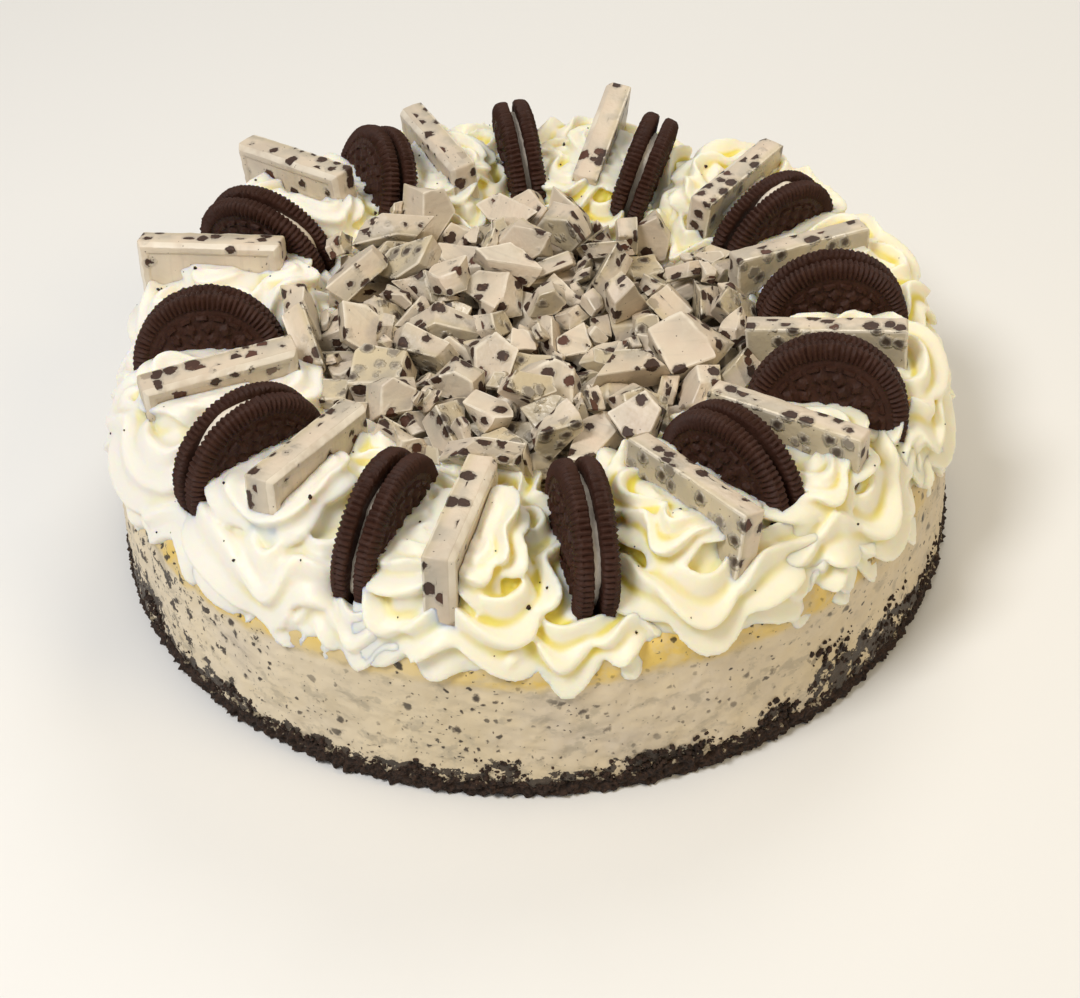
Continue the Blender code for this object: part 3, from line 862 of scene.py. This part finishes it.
def wafer_grid(radius, half, teeth):
    """A wafer's points before it is placed, its Y pointing out of the moulded face.

    Rows of rings run from the face's middle out over the rim and in again over the plain face. The height
    is a sum of bands of relief: short radial ridges near the rim, a ring of dashes, and two rings of
    rhombs round a boss. The rim follows the ridges as fine teeth.
    """
    steps = teeth * 4
    angle = round_angles(steps)
    rings = np.array([0.4, 1.4, 1.8, 2.6, 3.0, 4.0, 4.6, 5.3, 6.0, 6.7, 7.4, 7.9, 8.5, 9.2, 9.9, 10.6,
                      11.1, 11.7, 12.4, 13.1, 13.8, 14.5, 14.9, 15.9, 16.2, 17.2, 17.9, 18.2, 19.6, 20.6,
                      21.3, 21.8, 22.15])
    reach = rings[:, None]
    ridge = 0.5 + 0.5 * np.cos(teeth * angle)
    band = (reach > 18.0) * 1.0
    relief = 0.75 * ridge ** 0.8 * band
    relief = relief + 0.75 * ((reach > 14.7) & (reach < 16.0)) * (np.cos(20 * angle) > -0.5)
    for ring, number, size in ((12.4, 15, 2.1), (9.2, 11, 2.0), (6.0, 7, 2.0)):
        arc = 2 * math.pi / number
        sideways = ((angle + arc / 2) % arc - arc / 2) * ring
        rhomb = 1 - (np.abs(sideways) + np.abs(reach - ring)) / size
        relief = relief + 1.0 * np.clip(rhomb * 3.5, 0, 1)
    relief = relief + 0.8 * (reach < 2.8) * (reach > 1.6) + 0.4 * (reach < 1.5)
    relief = relief - 1.5 * np.clip((reach - 19.4) / 2.9, 0, 1) ** 2.4
    thickness = 2 * half / MM + 0.35
    rim = radius / MM - 0.8 * (1 - ridge ** 0.7)
    edge = [polar(rim - pull, angle, -depth) for depth, pull in (
        (1.5, 0.1), (2.2, 0.0), (thickness - 0.9, 0.0), (thickness - 0.25, 0.5))]
    plain = [polar(inner, angle, -thickness) for inner in (20.5, 14.0, 5.0)]
    grid = np.concatenate([polar(reach, angle, relief), edge, plain])[..., [0, 2, 1]] * MM
    grid[..., 1] += half
    return grid


def wafer_material(colours):
    shader = Shader("dark_wafer", roughness=0.68, Specular_IOR_Level=0.25)
    place = shader.coordinates()
    grain = shader.noise(place, 0.55 * MM, detail=4, roughness=0.65)
    blotch = shader.noise(place, 6 * MM, detail=3)
    dark = tinted(colours.wafer, 0.62)
    light = tinted(colours.wafer, 2.0)
    shader.set("Base Color", shader.mix((grain * 0.9 + blotch * 0.5 - 0.3).clamped(), dark, light))
    shader.set("Roughness", 0.46 + 0.3 * grain)
    shader.bump(grain, 0.25 * MM)
    return shader.material


def cookie_cream_material():
    shader = Shader("cookie_cream", roughness=0.6)
    place = shader.coordinates()
    fine = shader.noise(place, 0.8 * MM, detail=4)
    shader.set("Base Color", shader.mix(fine, (0.66, 0.58, 0.47), (0.86, 0.79, 0.68)))
    shader.bump(fine, 0.2 * MM)
    return shader.material


class CHEESECAKE_OT_cookies(bpy.types.Operator):
    """Sandwich cookies: toothed wafers with a relief on both outer faces, and cream between them"""

    bl_idname = "cheesecake.cookies"
    bl_label = "Sandwich cookies"

    def execute(self, context):
        sizes, colours = settings(context)
        wafer, filling = wafer_material(colours), cookie_cream_material()
        draw = np.random.default_rng(SEED + 200)
        for cream_node in COOKIE_CREAM_NODES:
            stem = cream_node.removesuffix("_cream")
            for side in ("left", "right"):
                node = f"{stem}_{side}_wafer"
                centre, radius, half, axes = disc_placing(node, cream_node)
                turn = draw.uniform(0, 2 * math.pi)
                spin = np.array([[math.cos(turn), 0, math.sin(turn)], [0, 1, 0],
                                 [-math.sin(turn), 0, math.cos(turn)]])
                points, faces = capped(wafer_grid(radius, half + 0.1 * MM, sizes.cookie_teeth))
                points = points + 0.07 * MM * ripple(points + draw.uniform(-1, 1), 2.2 * MM, 9)[:, None]
                mesh = make_mesh(node + "_surface", points @ spin @ axes + centre, faces)
                add_piece(node + "_surface", mesh, wafer, [node], sharp=50)
            centre, radius, half, axes = disc_placing(cream_node, stem + "_right_wafer")
            around = round_angles(120)
            level = np.linspace(-1, 1, 9)[:, None]
            around_cream = polar(radius, around, 0.0) + draw.uniform(-1, 1)
            reach = radius - 3.3 * MM - 0.4 * MM * level ** 2 + 1.3 * MM * ripple(around_cream, 30 * MM, 11)
            grid = np.stack([reach * np.cos(around), level * (half + 0.25 * MM) + 0 * around,
                             reach * np.sin(around)], axis=-1)
            swell = 0.25 * MM * ripple(grid + draw.uniform(-1, 1), 7 * MM, 10)
            grid = grid * (1 + (swell / radius)[..., None] * (1, 0, 1))
            points, faces = capped(grid[::-1])
            mesh = make_mesh(cream_node + "_surface", points @ axes + centre, faces)
            add_piece(cream_node + "_surface", mesh, filling, [cream_node])
        return {"FINISHED"}


def chocolate_material(colours):
    """White chocolate with dark round bits. It reads each piece's own place from the local attribute, whose
    Y runs from the back, where the bits settled, to the moulded face."""
    shader = Shader("speckled_chocolate", roughness=0.38)
    place = shader.attribute("local", "Vector")
    through = shader.split(place)[1]
    back = 1 - through.step(-3.9 * MM, -3.3 * MM)
    bent = shader.warped(place, 700.0, 2.0, 1.7 * MM)
    soft = shader.noise(place, 5 * MM, detail=3)
    fine = shader.noise(place, 0.8 * MM, detail=4)
    pink = tinted(colours.chocolate, 1.03, 0.96, 0.95)
    pale = tinted(colours.chocolate, 1.08, 1.09, 1.08)
    grey = tinted(colours.chocolate, 0.52, 0.54, 0.58)
    colour = shader.mix((soft * 2 - 0.5).clamped(), pink, pale)
    dull = tinted(colours.chocolate, 0.93, 0.90, 0.77)
    colour = shader.mix(1 - through.step(-4.0 * MM, -1.0 * MM), colour, dull)
    distance = shader.cells(bent, 5.1 * MM, 0.85)
    chance = shader.split(shader.cells(bent, 5.1 * MM, 0.85, "Color"))
    settled = 1 - through.step(-1.5 * MM, 3.2 * MM)
    present = chance[0].step(0.64 - 0.50 * settled, 0.66 - 0.50 * settled)
    size = (0.31 + 0.13 * chance[1]) * (1 - 0.16 * back)
    bit = (1 - (distance - size).step(-0.03, 0.03)) * present
    halo = (1 - (distance - size).step(0.0, 0.18)) * present
    streaks = shader.noise(shader.scaled(place, (1, 0.2, 0.1)), 0.9 * MM, detail=3)
    colour = shader.mix(streaks.step(0.5, 0.7) * through.step(2.5 * MM, 3.5 * MM) * 0.2, colour, grey)
    haze = soft.step(0.45, 0.62) * settled
    colour = shader.mix(haze * 0.5, colour, grey)
    clouds = shader.noise(place, 11 * MM, detail=2).step(0.40, 0.62)
    colour = shader.mix(clouds * 0.3, colour, grey)
    colour = shader.mix(halo * 0.5, colour, grey)
    # Painted highlight: lighter patches along the pieces' edges.
    edge_highlight = shader.attribute("rim").step(0.84, 1.0) * (0.25 + 0.75 * soft.step(0.4, 0.6))
    light = tinted(colours.chocolate, 1.30, 1.36, 1.45)
    colour = shader.mix(edge_highlight * 0.7, colour, light)
    tiny = shader.cells(place, 1.7 * MM)
    few = shader.split(shader.cells(place, 1.7 * MM, output="Color"))[0].step(0.72, 0.74)
    dot = (1 - tiny.step(0.10, 0.16)) * few
    bit_colour = shader.mix(chance[2].step(0.75, 0.9), (0.042, 0.017, 0.009), (0.085, 0.028, 0.014))
    bit_colour = shader.mix(fine.step(0.55, 0.68) * 0.6, bit_colour, (0.12, 0.065, 0.038))
    covered = shader.mix((1 - (distance - size * 0.72).step(-0.06, 0.10)) * chance[2].step(0.15, 0.3),
                         (0.25, 0.215, 0.17), (0.060, 0.040, 0.028))
    bit_colour = shader.mix(back, bit_colour, covered)
    colour = shader.mix(dot * 0.8, colour, (0.05, 0.03, 0.02))
    colour = shader.mix(bit, colour, bit_colour)
    shader.set("Base Color", colour)
    shader.set("Roughness", 0.32 + 0.22 * fine + 0.2 * bit - 0.12 * back)
    shader.bump(fine * 0.6 + soft * 0.8 + halo * (0.5 + 1.2 * back) - bit * 0.8 * (1 - back), 0.4 * MM)
    return shader.material


def speckled_chocolate(colours):
    """The chocolate's material, made once for the standing pieces and the heap."""
    return bpy.data.materials.get("speckled_chocolate") or chocolate_material(colours)


def rounded_rectangle(half_x, half_z, corner, inset):
    """An outline of 120 points at the same share of its way round for every inset. (points, 2)"""
    steps = np.linspace(0, math.pi / 2, 7)
    x, z, radius = half_x - inset, half_z - inset, max(corner - inset, 0.15 * MM)
    points = []
    for quarter in range(4):
        turn = steps + quarter * math.pi / 2
        cx = (x - radius) * (1 if quarter in (0, 3) else -1)
        cz = (z - radius) * (1 if quarter in (0, 1) else -1)
        points.append(np.stack([cx + radius * np.cos(turn), cz + radius * np.sin(turn)], axis=1))
    corners = np.concatenate(points)
    runs = []
    for here, there in zip(corners, np.roll(corners, -1, axis=0)):
        long = np.linalg.norm(there - here) > 2 * MM
        share = np.linspace(0, 1, 18 if long else 1, endpoint=False)[:, None]
        runs.append(here + share * (there - here))
    return np.concatenate(runs)


BAR_PROFILE = (  # from the flat back round to the middle of the moulded face: inset and depth in mm
    (9.0, 0.0), (3.0, 0.0), (0.5, 0.0), (0.1, 0.15), (0.0, 0.55), (0.05, 3.0), (0.1, 6.5), (0.35, 6.9),
    (1.3, 8.1), (1.6, 8.35), (1.9, 8.4), (3.1, 8.4), (3.4, 8.3), (3.8, 7.85), (4.2, 7.8), (9.0, 7.8),
)

BAR_EDGES = (2, 3, 4, 7, 8, 9)  # the places of the profile that lie on an edge
BAR_DEPTH = 8.4  # how thick the profile is


class CHEESECAKE_OT_bars(bpy.types.Operator):
    """Chocolate pieces: a chamfered outline with a sunk panel, carried round a rounded rectangle"""

    bl_idname = "cheesecake.bars"
    bl_label = "Chocolate pieces"

    def execute(self, context):
        material = speckled_chocolate(settings(context)[1])
        draw = np.random.default_rng(SEED + 300)
        for node in BAR_NODES:
            centre, half, axes = bar_placing(node)
            rings = []
            for inset, depth in BAR_PROFILE:
                outline = rounded_rectangle(half[0], half[2], 0.9 * MM, inset * MM)
                y = np.full(len(outline), depth / BAR_DEPTH * 2 * half[1] - half[1])
                rings.append(np.stack([outline[:, 0], y, outline[:, 1]], axis=1))
            local, faces = capped(np.stack(rings)[:, ::-1])
            offset = draw.uniform(-0.1, 0.1, 3) * (1, 0, 1)
            wear = ripples(local + offset, (0.10, 5, 12), (0.05, 1.6, 13))
            shaped = local + wear[:, None] * unit(local + 1e-9)
            mesh = make_mesh(node + "_surface", shaped @ axes + centre, faces)
            rim = np.repeat(np.isin(np.arange(len(BAR_PROFILE)), BAR_EDGES), len(outline))
            add_attribute(mesh, "rim", np.concatenate([rim, [0, 0]]))
            add_attribute(mesh, "local", local + offset)
            add_piece(node + "_surface", mesh, material, [node], sharp=38)
        return {"FINISHED"}


def shard_shapes(count, draw):
    """Points of broken slabs before they are placed, (shards, rows, columns, 3), Y through the slab.

    A slab's outline has five corners at random places on an oval, its edges are cut off a little, and its
    corners shift from the lower face to the upper one, so that its broken sides slope.
    """
    corners, edge = 5, 0.3
    order = np.arange(count) / count
    size = 3.5 + 7.0 * draw.uniform(0, 1, count) ** 1.1
    size = np.where(order > 0.62, draw.uniform(9.5, 13.0, count), size)
    size = np.where(order > 0.76, draw.uniform(1.3, 4.0, count), size)[:, None, None]
    half = draw.uniform(0.32, 0.62, count)[:, None, None] * size
    half = np.minimum(half, draw.uniform(3.2, 4.2, (count, 1, 1)))
    level = np.concatenate([-1 + 0 * half, -1 + edge / half, -0.35 + 0 * half, 0.35 + 0 * half,
                            1 - edge / half, 1 + 0 * half], axis=1)
    place = (np.arange(corners) + draw.uniform(-0.40, 0.40, (count, 1, corners))) * 2 * math.pi / corners
    place = place + level * draw.normal(0, 0.16, (count, 1, corners))
    reach = size * (1 + level * draw.normal(0, 0.16, (count, 1, corners)))
    stretch = draw.uniform(0.7, 1.5, (count, 1, 1))
    corner = np.stack([reach * np.cos(place) * stretch, reach * np.sin(place) / stretch], axis=-1)
    side = np.roll(corner, -1, axis=2) - corner
    cut = (edge / np.linalg.norm(side, axis=-1, keepdims=True)).clip(0, 0.3)
    shares = np.stack([cut, 0.33 + 0 * cut, 0.67 + 0 * cut, 1 - cut], axis=3)
    outline = corner[:, :, :, None] + shares * side[:, :, :, None]
    outline = outline.reshape(count, 6, corners * 4, 2)
    inset = np.array([edge, 0, 0, 0, 0, edge])[None, :, None, None]
    outline = outline * (1 - inset / np.linalg.norm(outline, axis=-1, keepdims=True).clip(edge * 2))
    height = level * half + 0 * outline[..., 0]
    return np.stack([outline[..., 0], height, outline[..., 1]], axis=-1) * MM


HEAP_REACH = 80 * MM  # a broken piece that came to rest further out is left off
FALL_SCALE = 100.0  # how many times the real size the fall is worked out at
FALL_FRAMES = 130
FALL_SPREAD = 56  # how far from the middle the broken pieces are let go, in mm
FALL_START = 90  # height of the lowest one in mm, with the next ones a millimetre apart
FALL_BOWL = (  # how far out and how high, in mm: a wall, the cream's inner side and the core
    (200, 150), (110, 96), (84, 80), (77, 73), (68, 61), (64, 51), (58, 50), (50, 54), (38, 55.5),
    (24, 56.5), (10, 57),
)


class CHEESECAKE_OT_heap(bpy.types.Operator):
    """Heap of broken chocolate: slabs with sloping broken sides, dropped one on another over a core"""

    bl_idname = "cheesecake.heap"
    bl_label = "Broken chocolate"

    def execute(self, context):
        sizes, colours = settings(context)
        material = speckled_chocolate(colours)
        draw = np.random.default_rng(SEED + 400)
        count = sizes.shard_count
        local = shard_shapes(count, draw)
        rows, columns = local.shape[1:3]
        flat = local.reshape(count, -1, 3)
        matrices = settled_places(flat, draw)
        ends = np.stack([local[:, 0].mean(1), local[:, -1].mean(1)], axis=1)
        flat = np.concatenate([flat, ends], axis=1)
        offset = draw.uniform(-0.5, 0.5, (count, 1, 3)) * (1, 0, 1)
        rough = 0.14 * MM * ripple(flat + offset, 3.0 * MM, 14)[..., None] * unit(flat + 1e-9)
        turned = np.einsum("nij,nkj->nki", matrices[:, :3, :3], flat + rough) + matrices[:, None, :3, 3]
        reach = np.hypot(turned[..., 0], turned[..., 1]).max(1)
        kept = (reach < HEAP_REACH) & (turned[..., 2].min(1) > CAKE_TOP - 1 * MM)
        kept &= turned[..., 2].max(1) < HEAP_TOP + 1 * MM
        layout = [part[:, ::-1] for part in tube_faces(rows, columns)]
        points, faces = repeated(turned[kept], layout)
        mesh = make_mesh("broken_chocolate", points, faces)
        deepest = np.abs(flat[..., 1]).max(1)[:, None]
        marked = flat + offset
        marked[..., 1] = flat[..., 1] / deepest * 4.2 * MM
        add_attribute(mesh, "local", marked[kept].reshape(-1, 3))
        rim = np.concatenate([np.repeat([1.0, 1.0, 0.0, 0.0, 1.0, 1.0], columns), [0.0, 0.0]])
        add_attribute(mesh, "rim", np.tile(rim, kept.sum()))
        add_piece("broken_chocolate", mesh, material, ["chocolate_heap"], sharp=30)
        points, faces = capped(heap_core(96))
        core = make_mesh("heap_core", points, faces)
        add_attribute(core, "local", points * (1, 0.2, 1))
        add_attribute(core, "rim", np.zeros(len(points)))
        add_piece("heap_core", core, material, ["chocolate_heap"])
        return {"FINISHED"}


def heap_core(sides):
    """The heap's hidden middle: a low dome."""
    around = round_angles(sides)
    reach = np.array([60, 59, 50, 38, 24, 10])[:, None] * MM
    height = CAKE_TOP + np.array([0.2, 1.5, 4, 5.5, 6.5, 7])[:, None] * MM
    return polar(reach, around, height)


def settled_places(shapes, draw):
    """Where each slab comes to rest: they fall as rigid bodies into the hollow inside the cream ring.

    The fall is worked out at a hundred times the real size, where the solver's own distances are small.
    """
    scene = bpy.context.scene
    bpy.ops.rigidbody.world_add()
    falling = bpy.data.collections.new("falling")
    world = assign(scene.rigidbody_world, collection=falling, substeps_per_frame=8, solver_iterations=14)
    assign(world.point_cache, frame_start=1, frame_end=FALL_FRAMES)

    def take_part(obj, **values):
        falling.objects.link(obj)
        assign(obj.rigid_body, **values)
        return obj

    wall = np.array(FALL_BOWL) * MM * FALL_SCALE
    bowl = np.stack([polar(reach, round_angles(48), height) for reach, height in wall])
    points, (sides, _, floor) = capped(bowl[:, ::-1])
    bowl_object = temporary("bowl", points, [sides, floor])
    still = [take_part(bowl_object, type="PASSIVE", collision_shape="MESH", friction=0.9)]
    standing = [box_cutter(bar_placing(name), 0.0) for name in BAR_NODES]
    standing += [disc_cutter(cookie_placing(name), 0.0, 24) for name in COOKIE_CREAM_NODES]
    for number, (points, faces) in enumerate(standing):
        block = temporary(f"standing_{number:02d}", points * FALL_SCALE, faces)
        still.append(take_part(block, type="PASSIVE", collision_shape="CONVEX_HULL"))
    count = len(shapes)
    spread = np.sqrt(draw.uniform(0, 1, count)) * FALL_SPREAD * MM * FALL_SCALE
    angle = draw.uniform(0, 2 * math.pi, count)
    height = (FALL_START + np.arange(count) * 1.0) * MM * FALL_SCALE
    slabs = []
    for number in range(count):
        slab = temporary(f"slab_{number:03d}", shapes[number] * FALL_SCALE, [np.array([[0, 1, 2]])])
        slab.rotation_mode = "QUATERNION"
        slab.rotation_quaternion = unit(draw.normal(size=4))
        slab.location = (spread[number] * math.cos(angle[number]), spread[number] * math.sin(angle[number]),
                         height[number])
        slabs.append(take_part(slab, collision_shape="CONVEX_HULL", friction=0.75, restitution=0.0,
                               use_margin=True, collision_margin=0.01, linear_damping=0.1,
                               angular_damping=0.3))
    for step in range(1, FALL_FRAMES + 1):
        scene.frame_set(step)
    graph = bpy.context.evaluated_depsgraph_get()
    places = np.array([np.array(slab.evaluated_get(graph).matrix_world) for slab in slabs])
    places[:, :3, 3] /= FALL_SCALE
    scene.frame_set(1)
    for obj in (*slabs, *still):
        bpy.data.objects.remove(obj)
    bpy.ops.rigidbody.world_remove()
    bpy.data.collections.remove(falling)
    return places


def crumb_shapes(count, size, draw):
    """Points of small uneven lumps round the origin, (lumps, points, 3), and their faces.

    Each is a ball of three rings whose reach varies from point to point.
    """
    columns = 7
    turn = np.array([-0.9, 0.0, 0.9])[:, None]
    around = round_angles(columns)
    ball = polar(np.cos(turn), around, np.sin(turn) + 0 * around)
    points, faces = capped(ball)
    points = points * draw.uniform(0.62, 1.15, (count, len(points), 1))
    points = points * draw.uniform(0.6, 1.1, (count, 1, 3))
    return points * size[:, None, None], faces


class CHEESECAKE_OT_crumbs(bpy.types.Operator):
    """Loose crumbs: on the cake's lower side where crumb climbs, and a few on the cream"""

    bl_idname = "cheesecake.crumbs"
    bl_label = "Loose crumbs"

    def execute(self, context):
        sizes, colours = settings(context)
        material = crumb_material("loose_crumb", colours)
        draw = np.random.default_rng(SEED + 500)
        count = sizes.crumb_count
        angle = draw.uniform(-math.pi, math.pi, count)
        climb = draw.exponential(1.6, count) * MM
        picked = draw.integers(0, len(PATCHES), count)
        place, width, rise = np.array(PATCHES)[picked].T
        in_patch = draw.uniform(0, 1, count) < 0.65
        patch_angle = np.radians(place + width * draw.normal(0, 0.6, count))
        angle = np.where(in_patch, patch_angle, angle)
        edge = crumb_height(angle, sizes.crumb_edge)
        climb = np.where(in_patch, draw.uniform(0, 1, count) ** 1.3 * rise * MM, climb)
        height = np.minimum(edge - 1.5 * MM + climb, CAKE_TOP - CRUMB_LIMIT)
        size = (0.3 + 1.0 * draw.uniform(0, 1, count) ** 2) * MM
        shapes, faces = crumb_shapes(count, size, draw)
        centre = polar(side_radius(height) - 0.15 * size, angle, height)
        points, faces = repeated(shapes + centre[:, None], faces)
        add_piece("side_crumbs", make_mesh("side_crumbs", points, faces), material, [])
        spots = []
        for obj in [obj for obj in bpy.data.objects if obj.name.startswith("piped_rosette_")]:
            lying = np.flatnonzero(mesh_normals(obj.data)[:, 2] > 0.5)
            spots.append(mesh_points(obj.data)[draw.choice(lying, 14)])
        spots = np.concatenate(spots)
        size = (0.25 + 0.7 * draw.uniform(0, 1, len(spots)) ** 3) * MM
        shapes, faces = crumb_shapes(len(spots), size, draw)
        points, faces = repeated(shapes + spots[:, None], faces)
        add_piece("cream_crumbs", make_mesh("cream_crumbs", points, faces), material, [])
        return {"FINISHED"}


FLOOR_REACH = 40.0
LIT_POINT = (0, 0, 0.03)  # where the lights are aimed
LIGHTS = (  # name, place, size, power, colour
    ("key", (-0.50, -0.45, 1.05), 0.4, 9.2, (1.0, 0.98, 0.96)),
    ("warm", (0.75, -0.45, 0.80), 0.5, 3.0, (1.0, 0.76, 0.38)),
    ("back", (0.30, 0.80, 0.95), 0.6, 4.0, (1.0, 0.95, 0.86)),
)


class CHEESECAKE_OT_stage(bpy.types.Operator):
    """Floor, soft light and the camera"""

    bl_idname = "cheesecake.stage"
    bl_label = "Stage"

    def execute(self, context):
        scene = context.scene
        corners = FLOOR_REACH * np.array([(-1, -1, 0), (1, -1, 0), (1, 1, 0), (-1, 1, 0)])
        floor = bpy.data.objects.new("floor", make_mesh("floor", corners, [np.array([[0, 1, 2, 3]])]))
        scene.collection.objects.link(floor)
        plain = Shader("pale_floor", roughness=0.9, Base_Color=(0.80, 0.80, 0.79, 1))
        floor.data.materials.append(plain.material)
        scene.world = assign(bpy.data.worlds.new("studio"), use_nodes=True)
        background = scene.world.node_tree.nodes["Background"].inputs
        background["Color"].default_value = (1.0, 0.98, 0.95, 1)
        background["Strength"].default_value = 0.36
        for name, place, size, power, colour in LIGHTS:
            data = bpy.data.lights.new(name, "AREA")
            assign(data, shape="DISK", size=size, energy=power, color=colour)
            aim = (Vector(LIT_POINT) - Vector(place)).to_track_quat("-Z", "Y")
            light = bpy.data.objects.new(name, data)
            assign(light, location=place, rotation_mode="QUATERNION", rotation_quaternion=aim)
            scene.collection.objects.link(light)
        make_camera(scene)
        scene.view_settings.view_transform = "Standard"
        return {"FINISHED"}


# The photograph's view, in its frame of 1080 by 998 pixels
FRAME_SIZE = (1080, 998)
FOCAL_PIXELS = 1919.2
LOOK_DOWN = 0.7002
ROLL = -0.0434
DISTANCE = 611.4 * MM
VIEW_SHIFT = (1.5 * MM, 2.9 * MM)  # from the point that the view's middle line meets to the cake's middle
PRINCIPAL_POINT = (539.3, 484.1)
SENSOR = 36.0


def make_camera(scene):
    data = bpy.data.cameras.new("camera")
    data.sensor_width = SENSOR
    data.lens = FOCAL_PIXELS * SENSOR / FRAME_SIZE[0]
    data.shift_x = (FRAME_SIZE[0] / 2 - PRINCIPAL_POINT[0]) / FRAME_SIZE[0]
    data.shift_y = (PRINCIPAL_POINT[1] - FRAME_SIZE[1] / 2) / FRAME_SIZE[0]
    camera = bpy.data.objects.new("camera", data)
    down, level = math.sin(LOOK_DOWN), math.cos(LOOK_DOWN)
    back = Vector((0, -level, down))
    right, up = Vector((1, 0, 0)), Vector((0, down, level))
    turned_right = math.cos(ROLL) * right + math.sin(ROLL) * up
    turned_up = -math.sin(ROLL) * right + math.cos(ROLL) * up
    matrix = Matrix((turned_right, turned_up, back)).transposed().to_4x4()
    matrix.translation = back * DISTANCE + Vector((*VIEW_SHIFT, 0))
    camera.matrix_world = matrix
    scene.collection.objects.link(camera)
    scene.camera = camera


STEPS = ("base", "filling", "cream", "cookies", "bars", "heap", "crumbs", "stage")


class CHEESECAKE_PT_panel(bpy.types.Panel):
    """Lists the cake's pieces, sizes and colours in the sidebar"""

    bl_idname = "CHEESECAKE_PT_panel"
    bl_label = "Cheesecake"
    bl_space_type = "VIEW_3D"
    bl_region_type = "UI"
    bl_category = "Cheesecake"

    def draw(self, context):
        for step in STEPS:
            self.layout.operator(f"cheesecake.{step}")
        for group in (context.scene.cheesecake_sizes, context.scene.cheesecake_colours):
            for name in group.__annotations__:
                self.layout.prop(group, name)


CLASSES = (
    CheesecakeSizes, CheesecakeColours, CHEESECAKE_OT_base, CHEESECAKE_OT_filling, CHEESECAKE_OT_cream,
    CHEESECAKE_OT_cookies, CHEESECAKE_OT_bars, CHEESECAKE_OT_heap, CHEESECAKE_OT_crumbs,
    CHEESECAKE_OT_stage, CHEESECAKE_PT_panel,
)


def register():
    for cls in CLASSES:
        bpy.utils.register_class(cls)
    bpy.types.Scene.cheesecake_sizes = PointerProperty(type=CheesecakeSizes)
    bpy.types.Scene.cheesecake_colours = PointerProperty(type=CheesecakeColours)


def unregister():
    del bpy.types.Scene.cheesecake_colours
    del bpy.types.Scene.cheesecake_sizes
    for cls in reversed(CLASSES):
        bpy.utils.unregister_class(cls)


def main():
    register()
    for step in STEPS:
        getattr(bpy.ops.cheesecake, step)()


if __name__ == "__main__":
    main()
